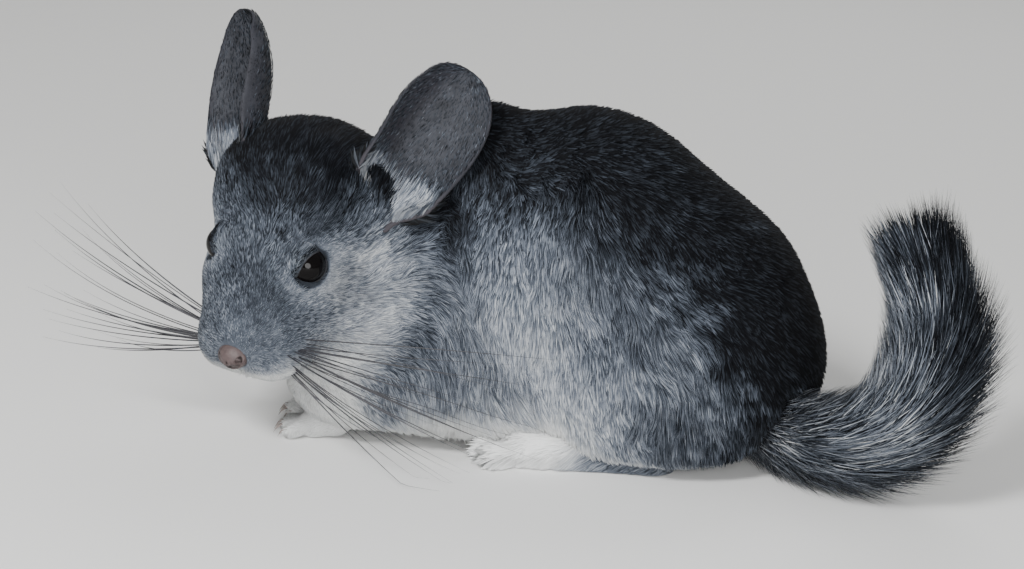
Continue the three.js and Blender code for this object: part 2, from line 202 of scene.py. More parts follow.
NECK_FORM = limb(vec(-32, -2, 60), in_head(-28, 0, -3), 29, 25)


def body_form(points):
    inside = BODY_EGGS(points)
    below = BELLY_LEVEL - points[:, 2]
    return np.maximum(inside, below) + fillet(inside, below, 9)


body_form.pieces = BODY_EGGS.pieces
COAT_FORM = melt(12, melt(12, body_form, NECK_FORM), HEAD_FORM)


def touch(form, centre, ray, reach):
    """Where a ray that comes in from outside first meets a form."""
    ray = unit(ray)
    far = reach
    point = centre + ray * far
    while far > 1:
        point = centre + ray * far
        away = form(point[None])[0]
        if away < 0.01:
            break
        far -= max(away * 0.5, 0.004)
    return point


def eye_way(side):
    return unit(head_way(0.42, side * 0.87, 0.26))


def eye_seat(side):
    return touch(COAT_FORM, in_head(0, 0, 10), head_way(0.52, side, 0.14), 60)


EYE_SEATS = {name: eye_seat(side) for name, side in SIDES.items()}


def eye_axes(side):
    """Out of an eye, along its opening to the nose, and up."""
    out = eye_way(side)
    up = unit(np.cross(out, head_way(1, 0, -0.15))) * side
    along = unit(np.cross(up, out)) * side
    if along @ head_way(1, 0, 0) < 0:
        along = -along
    if up @ head_way(0, 0, 1) < 0:
        up = -up
    return out, along, up


NOSE_PLACE = in_head(35.5, 0, -7)


def eye_box_middle(name):
    low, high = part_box(f"{name}_eye")
    return (np.array(low) + np.array(high)) * 500


def find_shift():
    """How far the model's frame is from the body's own, from where the two eyes are."""
    moves = []
    for name, side in SIDES.items():
        moves.append(eye_box_middle(name) - (EYE_SEATS[name] - eye_way(side) * EYE_RADIUS * 0.45))
    shift = np.mean(moves, axis=0)
    return vec(shift[0], shift[1], 0)


SHIFT = find_shift()


def place(points):
    return (np.asarray(points) + SHIFT) / 1000


def unplace(points):
    return np.asarray(points) * 1000 - SHIFT


# Feet.


def forepaw_pad(side):
    return vec(-61, side * -9 - 11, 4)


def hind_foot_ball(side):
    return vec(12, side * -31, 4)


def toe_tips(kind, side):
    if kind == "forepaw":
        pad = forepaw_pad(side)
        return [
            pad + vec(-FOREPAW_LENGTH * (0.62 - 0.12 * abs(share)), share * 4.6, -1.6)
            for share in (-1.3, -0.45, 0.4, 1.2)
        ]
    pad = hind_foot_ball(side)
    return [
        pad + vec(-HIND_FOOT_LENGTH * (0.24 - 0.04 * abs(share)), share * 5.4, -1.4)
        for share in (-1, -0.1, 0.8)
    ]


def foot_forms():
    forms = []
    for side in SIDES.values():
        pad = forepaw_pad(side)
        forms.append(limb(pad + vec(FOREPAW_LENGTH * 0.3, 0, 1.5), pad, 4.3, 4.6))
        forms.append(limb(pad + vec(10, 0, 12), pad + vec(7, 0, 3), 7.4, 5.4))
        forms += [limb(lerp(pad, tip, 0.2), tip, 2.1, 1.7) for tip in toe_tips("forepaw", side)]
        pad = hind_foot_ball(side)
        forms.append(limb(pad + vec(HIND_FOOT_LENGTH * 0.68, 0, 1), pad, 5.6, 5.4))
        forms += [limb(lerp(pad, tip, 0.2), tip, 2.6, 2.1) for tip in toe_tips("hind_foot", side)]
    return melt(1.6, *forms)


FOOT_FORM = foot_forms()


# How deep the coat is over the skin, in millimetres.


def eye_distance(points):
    return np.min([away_from(points, seat) for seat in EYE_SEATS.values()], axis=0)


def eye_ring(points):
    """How far points are round an eye's opening, whose rim is at 1."""
    rings = []
    for name, side in SIDES.items():
        local = (points - EYE_SEATS[name]) @ np.stack(eye_axes(side), axis=1)
        rings.append(away_from(local, 0, OPENING_RADII))
    return np.min(rings, axis=0)


def coat_depth(points):
    """Thinner at the nose, round the eyes and near the floor."""
    depth = lerp(0.5, 5.0, smooth(away_from(points, NOSE_PLACE), 6, 95))
    depth = np.minimum(depth, lerp(0.6, 5.0, smooth(eye_distance(points), 6, 34)))
    return depth * lerp(0.5, 1, smooth(points[:, 2], 2, 22))


def skin_form(points):
    near = COAT_FORM(points) + coat_depth(points)
    feet = FOOT_FORM(points)
    feet = np.maximum(feet, -points[:, 2] + 0.15)
    near = np.minimum(near, feet) - fillet(near, feet, 3)
    for name, side in SIDES.items():
        ball = away_from(points, EYE_SEATS[name] - eye_way(side) * EYE_DEPTH) - SOCKET_RADIUS
        near = carve(near, ball, 1.5)
        mouth = egg(in_head(24, side * 8, -19), vec(15, 9, 0.9), HEAD_TURN)(points)
        near = carve(near, mouth, 1.6)
    near = carve(near, egg(in_head(38, 0, -14), vec(5, 0.6, 6), HEAD_TURN)(points), 1.2)
    near = carve(near, egg(NOSE_PLACE, vec(5.0, 5.2, 4.2), HEAD_TURN)(points), 0.8)
    return near


def slope_of(form, points, step=0.25):
    rows = []
    for axis in np.eye(3):
        rows.append(form(points + axis * step) - form(points - axis * step))
    return np.stack(rows, axis=1) / (2 * step)


def settle(form, points, times=6, most=1.5):
    """Moves points onto a form's surface along its slope."""
    for _ in range(times):
        away = form(points)
        slope = slope_of(form, points)
        size = np.maximum((slope**2).sum(1), 0.05)
        move = slope * (away / size)[:, None]
        long = np.linalg.norm(move, axis=1)
        points = points - move * np.minimum(1, most / np.maximum(long, 1e-9))[:, None]
    return points


# Meshes.

LIMB_BALLS = 20


def mesh_points(mesh):
    rows = np.empty(len(mesh.vertices) * 3)
    mesh.vertices.foreach_get("co", rows)
    return rows.reshape(-1, 3)


def set_points(mesh, points):
    mesh.vertices.foreach_set("co", np.asarray(points).ravel())
    mesh.update()


def add_object(name, data):
    made = bpy.data.objects.new(name, data)
    bpy.context.scene.collection.objects.link(made)
    return made


def new_piece(name, mesh, material, nodes=()):
    if not mesh.polygons:
        raise RuntimeError(f"{name} has no faces")
    old = bpy.data.objects.get(name)
    if old is not None:
        bpy.data.objects.remove(old)
    mesh.name = name
    mesh.materials.clear()
    mesh.materials.append(material)
    mesh.shade_smooth()
    piece = add_object(name, mesh)
    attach(piece, "root")
    if nodes:
        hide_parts(*nodes)
    return piece


@contextmanager
def editing(mesh):
    """A mesh's points and faces, which are written back to it at the end."""
    made = bmesh.new()
    made.from_mesh(mesh)
    yield made
    made.to_mesh(mesh)
    made.free()


def triangle_mesh(name, points, triangles):
    mesh = bpy.data.meshes.new(name)
    count = len(triangles)
    mesh.vertices.add(len(points))
    mesh.vertices.foreach_set("co", np.asarray(points, np.float32).ravel())
    mesh.loops.add(count * 3)
    mesh.loops.foreach_set("vertex_index", np.asarray(triangles, np.int32).ravel())
    mesh.polygons.add(count)
    mesh.polygons.foreach_set("loop_start", np.arange(0, count * 3, 3, dtype=np.int32))
    mesh.update(calc_edges=True)
    return mesh


def grid_mesh(name, rows, around=False):
    """A mesh from a grid of points, closed on itself round each row where around is set."""
    rows = np.asarray(rows, float)
    high, wide = rows.shape[:2]
    faces = []
    for i in range(high - 1):
        for j in range(wide if around else wide - 1):
            k = (j + 1) % wide
            faces.append((i * wide + j, i * wide + k, (i + 1) * wide + k, (i + 1) * wide + j))
    mesh = bpy.data.meshes.new(name)
    mesh.from_pydata([tuple(p) for p in rows.reshape(-1, 3)], [], faces)
    return mesh


def add_value(mesh, name, values):
    layer = mesh.attributes.get(name) or mesh.attributes.new(name, "FLOAT", "POINT")
    layer.data.foreach_set("value", np.asarray(values, np.float32).ravel())


def blob_mesh(form):
    """A closed shell round one egg or limb, in millimetres."""
    mesh = bpy.data.meshes.new("blob")
    with editing(mesh) as made:
        if form[0] == "egg":
            _, centre, radii, turn = form
            bmesh.ops.create_icosphere(made, subdivisions=4, radius=1)
            turn = np.eye(3) if turn is None else turn
            for vert in made.verts:
                vert.co = Vector(turn @ (np.array(vert.co) * radii) + centre)
        else:
            _, start, end, start_radius, end_radius = form
            for share in np.linspace(0, 1, LIMB_BALLS):
                middle = Matrix.Translation(Vector(lerp(start, end, share)))
                size = lerp(start_radius, end_radius, share)
                bmesh.ops.create_icosphere(made, subdivisions=3, radius=size, matrix=middle)
    return mesh


def remeshed(mesh, size):
    piece = add_object("blob", mesh)
    step = piece.modifiers.new("even", "REMESH")
    step.mode = "VOXEL"
    step.voxel_size = size
    graph = bpy.context.evaluated_depsgraph_get()
    made = bpy.data.meshes.new_from_object(piece.evaluated_get(graph), depsgraph=graph)
    bpy.data.objects.remove(piece)
    return made


def make_skin_mesh(voxel):
    """The whole animal's skin without its tail, as one closed mesh in millimetres."""
    mesh = bpy.data.meshes.new("skin")
    with editing(mesh) as made:
        for form in COAT_FORM.pieces + FOOT_FORM.pieces:
            blob = blob_mesh(form)
            made.from_mesh(blob)
            bpy.data.meshes.remove(blob)
    for size, times in ((2.0, 10), (voxel, 8)):
        mesh = remeshed(mesh, size)
        set_points(mesh, settle(skin_form, mesh_points(mesh), times))
    return mesh


def refine_face(mesh):
    """Splits the skin's faces finer round the eyes and the muzzle, and settles them again."""
    with editing(mesh) as made:
        middles = np.array([face.calc_center_median() for face in made.faces])
        near = (away_from(middles, in_head(33, 0, -12)) < 19) | (eye_distance(middles) < 12)
        edges = {edge for face, keep in zip(made.faces, near) if keep for edge in face.edges}
        bmesh.ops.subdivide_edges(made, edges=list(edges), cuts=1, use_grid_fill=True)
        bmesh.ops.triangulate(made, faces=[face for face in made.faces if len(face.verts) > 4])
    set_points(mesh, settle(skin_form, mesh_points(mesh), 4, 0.6))


# Markings, with painted light on the left flank and painted shade on the rump: 0 is white and 1 is black.


def waves(points, size, seed, count=9):
    """Smooth noise about zero, with lumps of about the given size."""
    rng = np.random.default_rng(seed)
    total = np.zeros(len(points))
    for _ in range(count):
        way = unit(rng.normal(size=3)) * rng.uniform(0.7, 1.5) * math.pi / size
        total += np.sin(points @ way + rng.uniform(0, 2 * math.pi))
    return total / math.sqrt(count / 2)


def foot_share(points):
    return smooth(-FOOT_FORM(points), -2.5, -0.5)


def tone_of(points, normals):
    """How dark the coat is, from what faces up and where on the body it is."""
    x, _, z = points.T
    # Darker where it faces up, and where it faces back, which on the rump is partly painted shade.
    top = normals[:, 2] + 0.85 * np.maximum(normals[:, 0], 0) * smooth(z, 12, 60)
    top = top + 0.08 * waves(points, 30, 1) + 0.04 * waves(points, 9, 2)
    body = np.interp(
        top,
        (-1, -0.8, -0.5, -0.15, 0.05, 0.22, 0.45, 0.66, 0.8),
        (0.0, 0.06, 0.33, 0.41, 0.50, 0.60, 0.74, 0.91, 1.0),
    )
    # The left flank, which faces the lamps, is paler: painted light. The rump and the haunches are darker, partly
    # their own darker coat and partly painted shade, and mottled.
    body = body - 0.09 * smooth(-away_from(points, vec(10, -44, 30), vec(36, 40, 24)), -1, -0.2)
    rear = smooth(x + 4 * waves(points, 14, 3), 54, 92)
    body = body + rear * 0.26 * smooth(z, 2, 12)
    body = body + smooth(x, 20, 60) * 0.06 * waves(points, 3.4, 9)
    # The belly and the chest are white, up to a level that is higher behind the forelegs.
    band = smooth(x, -50, -30) * smooth(-x, -36, -16)
    level = lerp(5, 17, band) + 1.8 * waves(points, 10, 4)
    body = body + 0.08 * smooth(-x, 2, 26)
    # Darker low at the rear: partly the haunches' own darker coat and partly painted shade near the floor.
    body = body + 0.31 * smooth(x, 24, 56) * smooth(-z, -42, -18)
    pale_belly = 1 - smooth(z, level - 5, level + 6)
    body = body * (1 - pale_belly * smooth(-x, -56, -30))
    chest = smooth(-away_from(points, vec(-66, -18, 12), vec(30, 36, 28)), -1, -0.7)
    body = lerp(body, 0.0, chest)

    local = to_head(points)
    nose, _, crown = local.T
    high = crown + 0.8 * waves(points, 7, 5)
    head = np.interp(
        high,
        (-26, -19, -10, 2, 12, 19, 27, 31),
        (0.03, 0.18, 0.33, 0.40, 0.52, 0.72, 0.91, 0.97),
    )
    snout = np.interp(high, (-22, -15, -8, -1, 7, 14), (0.04, 0.27, 0.52, 0.62, 0.67, 0.78))
    head = lerp(head, snout, smooth(nose, 4, 22))
    # Paler round and behind the eye, dark at its lids, darker on the jaw and white at the lips.
    head = head - 0.15 * (smooth(-eye_distance(points), -15, -9) * smooth(-crown, -20, -12))
    head = head - 0.14 * smooth(-away_from(local, vec(-7, 0, 6), vec(9, 60, 8)), -1, -0.3)
    head = head + 0.4 * smooth(-eye_ring(points), -1.12, -0.98)
    head = head + 0.24 * smooth(-nose, 9, 21) * smooth(crown, -24, -10)
    lips = smooth(nose, 25, 32) * smooth(-crown, 10, 14)
    head = head * (1 - 0.85 * lips)
    head = head + 0.015 * waves(points, 3.2, 6)
    share = smooth(-away_from(local, 0, HEAD_REACH), -1.05, -0.75)
    tone = lerp(body, head, share) + 0.018 * waves(points, 4, 7) + 0.022 * waves(points, 1.8, 8)
    paws = smooth(-FOOT_FORM(points), -3, -0.5) * smooth(-z, -14, -8)
    return np.clip(lerp(tone, lerp(0.6, 0.02, smooth(-x, -38, -20)), paws), 0, 1)


def lie_of(points, normals):
    """The way that the coat lies, along the skin."""
    head = unit(points - in_head(46, 0, -8))
    side = np.abs(normals[:, 1])
    rear = smooth(points[:, 0], 40, 95)
    flow = np.stack([1.0 - 0.55 * side, 0 * side, -0.35 - 1.15 * side - 1.1 * rear], axis=1)
    share = smooth(-away_from(to_head(points), 0, HEAD_REACH), -1.3, -0.7)
    way = lerp(unit(flow), head, share[:, None])
    way = lerp(way, vec(-1, 0, -0.6), foot_share(points)[:, None])
    swirl = np.stack([waves(points, 16, seed) for seed in (11, 12, 13)], axis=1) * 0.16
    swirl += np.stack([waves(points, 4, seed) for seed in (14, 15, 16)], axis=1) * 0.15
    way = way + swirl
    way = way - (way * normals).sum(1)[:, None] * normals
    return unit(way)


# Shader groups and materials.


def group_socket(tree, name, kind, inout, default=None):
    socket = tree.interface.new_socket(name=name, in_out=inout, socket_type=kind)
    if default is not None:
        socket.default_value = default
    return socket


def link(tree, source, target):
    tree.links.new(source, target)


def set_inputs(tree, node, inputs):
    """Sets a node's inputs to values, or links them to other nodes' outputs."""
    for key, value in inputs.items():
        if isinstance(value, bpy.types.NodeSocket):
            link(tree, value, node.inputs[key])
        else:
            node.inputs[key].default_value = value


def add_node(tree, kind, inputs=None, **settings):
    node = tree.nodes.new(kind)
    for name, value in settings.items():
        setattr(node, name, value)
    set_inputs(tree, node, inputs or {})
    return node


def math_node(tree, operation, first, second, clamp=False):
    return add_node(tree, "ShaderNodeMath", {0: first, 1: second}, operation=operation, use_clamp=clamp).outputs[0]


def mix_colours(tree, share, first, second, kind="MIX"):
    inputs = {0: share, 6: first, 7: second}
    return add_node(tree, "ShaderNodeMix", inputs, data_type="RGBA", blend_type=kind).outputs[2]


def noise(tree, scale, detail=3.0, rough=0.55):
    where = add_node(tree, "ShaderNodeTexCoord").outputs["Object"]
    inputs = {"Vector": where, "Scale": scale, "Detail": detail, "Roughness": rough}
    return add_node(tree, "ShaderNodeTexNoise", inputs).outputs["Fac"]


def ramp(tree, source, stops):
    """A colour ramp over a value, from the places and colours of its stops."""
    node = add_node(tree, "ShaderNodeValToRGB", {0: source})
    made = node.color_ramp.elements
    while len(made) < len(stops):
        made.new(0.5)
    for stop, (spot, colour) in zip(made, stops):
        stop.position = spot
        stop.color = (*colour, 1)
    return node.outputs[0]


COAT_COLOURS = (
    (0.00, (0.86, 0.87, 0.86)),
    (0.22, (0.50, 0.53, 0.56)),
    (0.42, (0.255, 0.285, 0.33)),
    (0.60, (0.115, 0.135, 0.168)),
    (0.80, (0.036, 0.044, 0.057)),
    (1.00, (0.0035, 0.004, 0.0055)),
)
COAT_SHINE = {"Roughness": 0.72, "Specular IOR Level": 0.07, "Sheen Weight": 0.02, "Sheen Roughness": 0.5}
FINE_GRAIN = (0.22, 620.0)  # how strong the coat's mottles are, and their scale


def coat_colour_group():
    """One colour for skin and hair alike, from how dark the markings are there."""
    tree = bpy.data.node_groups.get("Coat colour")
    if tree is not None:
        return tree
    tree = bpy.data.node_groups.new("Coat colour", "ShaderNodeTree")
    for name, default in (("Tone", 0.5), ("Pick", 0.5), ("Along", 1.0), ("Mottle", 0.3), ("Scale", 260.0)):
        group_socket(tree, name, "NodeSocketFloat", "INPUT", default)
    group_socket(tree, "Colour", "NodeSocketColor", "OUTPUT")
    group_socket(tree, "Height", "NodeSocketFloat", "OUTPUT")
    start = tree.nodes.new("NodeGroupInput").outputs
    end = tree.nodes.new("NodeGroupOutput").inputs

    def work(operation, first, second, clamp=False):
        return math_node(tree, operation, first, second, clamp)

    fine = noise(tree, start["Scale"], 4.0, 0.65)
    speck = work("MULTIPLY", work("SUBTRACT", fine, 0.5), start["Mottle"])
    own = work("MULTIPLY", work("SUBTRACT", start["Pick"], 0.5), 0.36)
    away = work("MULTIPLY", work("SUBTRACT", 1.15, start["Tone"]), start["Tone"])
    spread = work("MULTIPLY", work("ADD", speck, own), work("MULTIPLY", away, 4.0))
    colour = ramp(tree, work("ADD", start["Tone"], spread, clamp=True), COAT_COLOURS)
    patches = work("MULTIPLY", noise(tree, 90.0, 2.0), 0.22)
    warm = mix_colours(tree, patches, colour, (0.30, 0.24, 0.26, 1), "SOFT_LIGHT")
    # Darker towards each tuft's root: partly the hairs' own dark slate roots, partly painted shade deep in the
    # coat.
    root = work("ADD", work("MULTIPLY", start["Along"], 0.55), 0.45, clamp=True)
    dark = add_node(tree, "ShaderNodeCombineColor", {0: root, 1: root, 2: root}).outputs[0]
    link(tree, mix_colours(tree, 1.0, warm, dark, "MULTIPLY"), end["Colour"])
    link(tree, fine, end["Height"])
    return tree


def new_material(name):
    material = bpy.data.materials.get(name)
    if material is not None:
        bpy.data.materials.remove(material)
    material = bpy.data.materials.new(name)
    material.use_nodes = True
    tree = material.node_tree
    shader = next(node for node in tree.nodes if node.type == "BSDF_PRINCIPLED")
    return material, tree, shader


def value_of(tree, name):
    return add_node(tree, "ShaderNodeAttribute", attribute_name=name).outputs["Fac"]


def bump(tree, shader, height, strength, distance):
    inputs = {"Strength": strength, "Distance": distance, "Height": height}
    set_inputs(tree, shader, {"Normal": add_node(tree, "ShaderNodeBump", inputs).outputs[0]})


def coat_material(name, mottle, scale, along=None):
    """The coat's finish. With along it is for skin, and without it for tufts, which have their own values."""
    material, tree, shader = new_material(name)
    inputs = {"Mottle": mottle, "Scale": scale, "Tone": value_of(tree, "tone")}
    if along is None:
        inputs |= {"Along": value_of(tree, "along"), "Pick": value_of(tree, "pick")}
    else:
        # Skin is darkened as at the tufts' roots, which is partly painted shade under the coat.
        inputs["Along"] = along
        bump(tree, shader, noise(tree, 1400.0, 4.0), 0.7, 0.0006)
    group = add_node(tree, "ShaderNodeGroup", inputs, node_tree=coat_colour_group())
    set_inputs(tree, shader, {"Base Color": group.outputs["Colour"], **COAT_SHINE})
    return material


def skinlike_material(name, first, second, roughness, scale, lift=0.0003):
    """Bare or thinly haired skin, in two blended colours with fine pores."""
    material, tree, shader = new_material(name)
    colour = ramp(tree, noise(tree, scale, 4.0), ((0.35, first), (0.68, second)))
    set_inputs(tree, shader, {"Base Color": colour, "Roughness": roughness})
    bump(tree, shader, noise(tree, scale * 5, 3.0), 0.5, lift)
    return material, tree, shader, colour


# The coat: every tuft is a closed tapered spike that bends along its lie.

SHORT_FACES = np.array([(1, 0, 2), (0, 3, 2), (2, 3, 1), (0, 1, 3)])
SHORT_ALONG = np.array((0, 0, 0.42, 1.0))
SHORT_ACROSS = np.array((-0.5, 0.5, 0, 0))
LONG_FACES = np.array(
    [(0, 2, 1), (0, 1, 4), (0, 4, 3), (1, 2, 5), (1, 5, 4), (2, 0, 3), (2, 3, 5), (3, 4, 6), (4, 5, 6), (5, 3, 6)],
)
LONG_ALONG = np.array((0, 0, 0, 0.5, 0.5, 0.5, 1.0))
LONG_ACROSS = np.array((-0.5, 0.5, 0, -0.5, 0.5, 0, 0))


def tuft_mesh(name, rows, shape, outward, tones, picks, spots, material):
    """One mesh of tufts from the points of each, with its values, its OFBake map and its soft shading."""
    faces, along, across = shape
    count, size = rows.shape[:2]
    rows[:, :, 2] = np.maximum(rows[:, :, 2], 0.25)
    corners = faces[None] + (np.arange(count) * size)[:, None, None]
    mesh = triangle_mesh(name, place(rows.reshape(-1, 3)), corners.reshape(-1, 3))
    add_value(mesh, "tone", np.clip(np.repeat(tones, size), 0, 1))
    add_value(mesh, "pick", np.repeat(picks, size))
    add_value(mesh, "along", np.tile(along, count))
    patch = np.stack([across, along - 0.5], axis=1) * PATCH
    spread = np.clip(spots[:, None, :] + patch[None], 0, 1)[:, faces.ravel()]
    mesh.uv_layers.new(name="OFBake").uv.foreach_set("vector", spread.reshape(-1).astype(np.float32))
    piece = new_piece(name, mesh, material)
    mesh.normals_split_custom_set_from_vertices(unit(outward.reshape(-1, 3)).astype(np.float32))
    return piece


def coat_piece(name, roots, normals, lies, lengths, heights, widths, tones, picks, spots, material, slot):
    """One mesh of short tufts. Lengths, heights and widths are in millimetres."""
    across = unit(np.cross(normals, lies))
    base = roots - normals * np.minimum(heights * 0.3, 0.8)[:, None]
    middle = roots + lies * (lengths * 0.42)[:, None] + normals * (heights * 0.66 + widths * 0.3)[:, None]
    tip = roots + lies * lengths[:, None] + normals * heights[:, None]
    half = across * (widths * 0.5)[:, None]
    rows = np.stack([base - half, base + half, middle, tip], axis=1)
    outward = normals[:, None] * 0.8 + SHORT_ACROSS[None, :, None] * across[:, None] + lies[:, None] * 0.12
    return tuft_mesh(
        name, rows, (SHORT_FACES, SHORT_ALONG, SHORT_ACROSS), outward, tones, picks, spots, material,
    )


def skin_sample(piece, density, rng):
    """Roots spread over a piece, at density(points, normals) a square millimetre.

    Each has its normal and its spot on the OFBake map.
    """
    mesh = piece.data
    mesh.calc_loop_triangles()
    count = len(mesh.loop_triangles)

    def rows(source, name, length, kind=np.float32):
        values = np.empty(length, kind)
        source.foreach_get(name, values)
        return values

    corners = rows(mesh.loop_triangles, "vertices", count * 3, np.int32)
    loops = rows(mesh.loop_triangles, "loops", count * 3, np.int32)
    points = unplace(mesh_points(mesh))[corners].reshape(-1, 3, 3)
    normals = rows(mesh.vertex_normals, "vector", len(mesh.vertices) * 3)
    normals = normals.reshape(-1, 3)[corners].reshape(-1, 3, 3)
    spots = rows(mesh.uv_layers["OFBake"].uv, "vector", len(mesh.loops) * 2)
    spots = spots.reshape(-1, 2)[loops].reshape(-1, 3, 2)
    cross = np.cross(points[:, 1] - points[:, 0], points[:, 2] - points[:, 0])
    area = np.linalg.norm(cross, axis=1) / 2
    want = area * density(points.mean(1), unit(cross))
    number = np.floor(want + rng.random(count)).astype(int)
    which = np.repeat(np.arange(count), number)
    first, second = rng.random((2, len(which)))
    over = first + second > 1
    first[over], second[over] = 1 - first[over], 1 - second[over]
    share = np.stack([1 - first - second, first, second], axis=1)[:, :, None]
    roots, ways, places = ((rows[which] * share).sum(1) for rows in (points, normals, spots))
    return roots, unit(ways), places


# The tail.

SPINE = np.array(
    [
        (74, 0, 14), (90, -20, 12.5), (107, -41, 16), (122, -50, 24),
        (131, -51, 38), (134, -49, 54), (132, -46, 67), (127, -44, 78),
    ],
    float,
)
TAIL_STEPS = 160
TAIL_SIDES = 24
BRUSH_RADIUS = 18
MOST_TAIL_TUFTS = 19000  # in one piece


def spine_curve():
    """Even steps along the tail's middle line, with their ways and two cross directions."""
    knots = np.vstack([2 * SPINE[0] - SPINE[1], SPINE, 2 * SPINE[-1] - SPINE[-2]])
    rows = []
    for i in range(1, len(knots) - 2):
        a, b, c, d = knots[i - 1 : i + 3]
        t = np.linspace(0, 1, 60, endpoint=False)[:, None]
        square, cube = 2 * a - 5 * b + 4 * c - d, 3 * b - a - 3 * c + d
        rows.append(0.5 * (2 * b + (c - a) * t + square * t**2 + cube * t**3))
    rows.append(SPINE[-1:])
    rows = np.vstack(rows)
    long = np.concatenate([[0], np.cumsum(np.linalg.norm(np.diff(rows, axis=0), axis=1))])
    even = np.linspace(0, long[-1], TAIL_STEPS)
    line = np.stack([np.interp(even, long, rows[:, k]) for k in range(3)], axis=1)
    way = unit(np.gradient(line, axis=0))
    side = [unit(np.cross(way[0], vec(0, 0, 1)))]
    for step in way[1:]:
        side.append(unit(side[-1] - (side[-1] @ step) * step))
    side = np.array(side)
    return line, way, side, np.cross(way, side), long[-1]


def brush_radius(share):
    """The tail's radius with its coat, at a share of its length."""
    root = lerp(0.6, 1, np.minimum(share / 0.4, 1))
    tip = np.sqrt(np.maximum(1 - np.maximum((share - 0.8) / 0.3, 0) ** 2, 0.06))
    return BRUSH_RADIUS * root * tip


def tail_core_radius(share):
    return np.minimum(7.0, brush_radius(share) * 0.45) * np.sqrt(np.clip(1 - (share - 0.02) ** 6, 0.02, 1))


def strands(name, curves, thick, tapers, material, sides, nodes=()):
    """Round tapered strands along rows of points, made by Geometry Nodes as one plain mesh."""
    tree = bpy.data.node_groups.get("Tapered strands") or strand_tree()
    points = np.concatenate([place(curve) for curve in curves])
    edges, start = [], 0
    for curve in curves:
        edges += [(start + i, start + i + 1) for i in range(len(curve) - 1)]
        start += len(curve)
    lines = bpy.data.meshes.new(name)
    lines.from_pydata([tuple(p) for p in points], edges, [])
    add_value(lines, "taper", np.concatenate([np.asarray(taper) for taper in tapers]))
    carrier = add_object(name, lines)
    step = carrier.modifiers.new("strands", "NODES")
    step.node_group = tree
    sockets = {item.name: item.identifier for item in tree.interface.items_tree if item.item_type == "SOCKET"}
    for key, value in (("Thickness", thick / 1000), ("Sides", sides), ("Finish", material)):
        step[sockets[key]] = value
    graph = bpy.context.evaluated_depsgraph_get()
    mesh = bpy.data.meshes.new_from_object(carrier.evaluated_get(graph), depsgraph=graph)
    carrier.modifiers.clear()
    bpy.data.objects.remove(carrier)
    return new_piece(name, mesh, material, nodes)


def strand_tree():
    tree = bpy.data.node_groups.new("Tapered strands", "GeometryNodeTree")
    for name, kind, default in (
        ("Lines", "NodeSocketGeometry", None),
        ("Thickness", "NodeSocketFloat", 0.0005),
        ("Sides", "NodeSocketInt", 6),
        ("Finish", "NodeSocketMaterial", None),
    ):
        group_socket(tree, name, kind, "INPUT", default)
    group_socket(tree, "Strands", "NodeSocketGeometry", "OUTPUT")
    start = tree.nodes.new("NodeGroupInput").outputs
    end = tree.nodes.new("NodeGroupOutput").inputs
    curve = add_node(tree, "GeometryNodeMeshToCurve", {"Mesh": start["Lines"]})
    taper = add_node(tree, "GeometryNodeInputNamedAttribute", {"Name": "taper"}, data_type="FLOAT")
    ring = add_node(tree, "GeometryNodeCurvePrimitiveCircle", {"Radius": 0.5, "Resolution": start["Sides"]})
    size = math_node(tree, "MULTIPLY", taper.outputs["Attribute"], start["Thickness"])
    profile = {"Curve": curve.outputs["Curve"], "Profile Curve": ring.outputs["Curve"], "Scale": size}
    tube = add_node(tree, "GeometryNodeCurveToMesh", {"Fill Caps": True, **profile})
    plain = add_node(tree, "GeometryNodeRealizeInstances", {"Geometry": tube.outputs["Mesh"]})
    inputs = {"Geometry": plain.outputs["Geometry"], "Material": start["Finish"]}
    finish = add_node(tree, "GeometryNodeSetMaterial", inputs)
    link(tree, finish.outputs["Geometry"], end["Strands"])
    return tree


# Settings.


class ChinchillaSizes(bpy.types.PropertyGroup):
    skin_step: bpy.props.FloatProperty(
        name="Skin step", description="Size of the skin's faces",
        default=0.00115, min=0.0008, max=0.004, unit="LENGTH",
    )
    body_density: bpy.props.FloatProperty(
        name="Body tufts", description="Tufts on a square millimetre of the body",
        default=4.5, min=0.1, max=6,
    )
    head_density: bpy.props.FloatProperty(
        name="Head tufts", description="Tufts on a square millimetre of the face",
        default=6.5, min=0.1, max=9,
    )
    tuft_width: bpy.props.FloatProperty(
        name="Tuft width", description="Width of a body tuft at its root", default=0.00044, unit="LENGTH",
    )
    whisker_thickness: bpy.props.FloatProperty(
        name="Whisker thickness", description="Thickness of a whisker at its root",
        default=0.0005, unit="LENGTH",
    )
    whisker_count: bpy.props.IntProperty(
        name="Whiskers", description="Whiskers on each side", default=26, min=1, max=60,
    )
    tail_hairs: bpy.props.IntProperty(
        name="Tail tufts", description="Long tufts of the tail's brush", default=26000, min=100, max=38000,
    )


class ChinchillaColours(bpy.types.PropertyGroup):
    eye: bpy.props.FloatVectorProperty(
        name="Eye", description="Colour of the iris",
        subtype="COLOR", default=(0.004, 0.003, 0.003), min=0, max=1,
    )
    ear: bpy.props.FloatVectorProperty(
        name="Ear", description="Colour of the ears' skin",
        subtype="COLOR", default=(0.032, 0.034, 0.041), min=0, max=1,
    )
    nose: bpy.props.FloatVectorProperty(
        name="Nose", description="Colour of the nose pad",
        subtype="COLOR", default=(0.088, 0.064, 0.062), min=0, max=1,
    )
    whisker: bpy.props.FloatVectorProperty(
        name="Whisker", description="Colour of the whiskers",
        subtype="COLOR", default=(0.012, 0.012, 0.015), min=0, max=1,
    )
    floor: bpy.props.FloatVectorProperty(
        name="Floor", description="Colour of the plain floor",
        subtype="COLOR", default=(0.80, 0.80, 0.79), min=0, max=1,
    )


def sizes():
    return bpy.context.scene.chinchilla_sizes


def colours():
    return bpy.context.scene.chinchilla_colours


# Pieces.


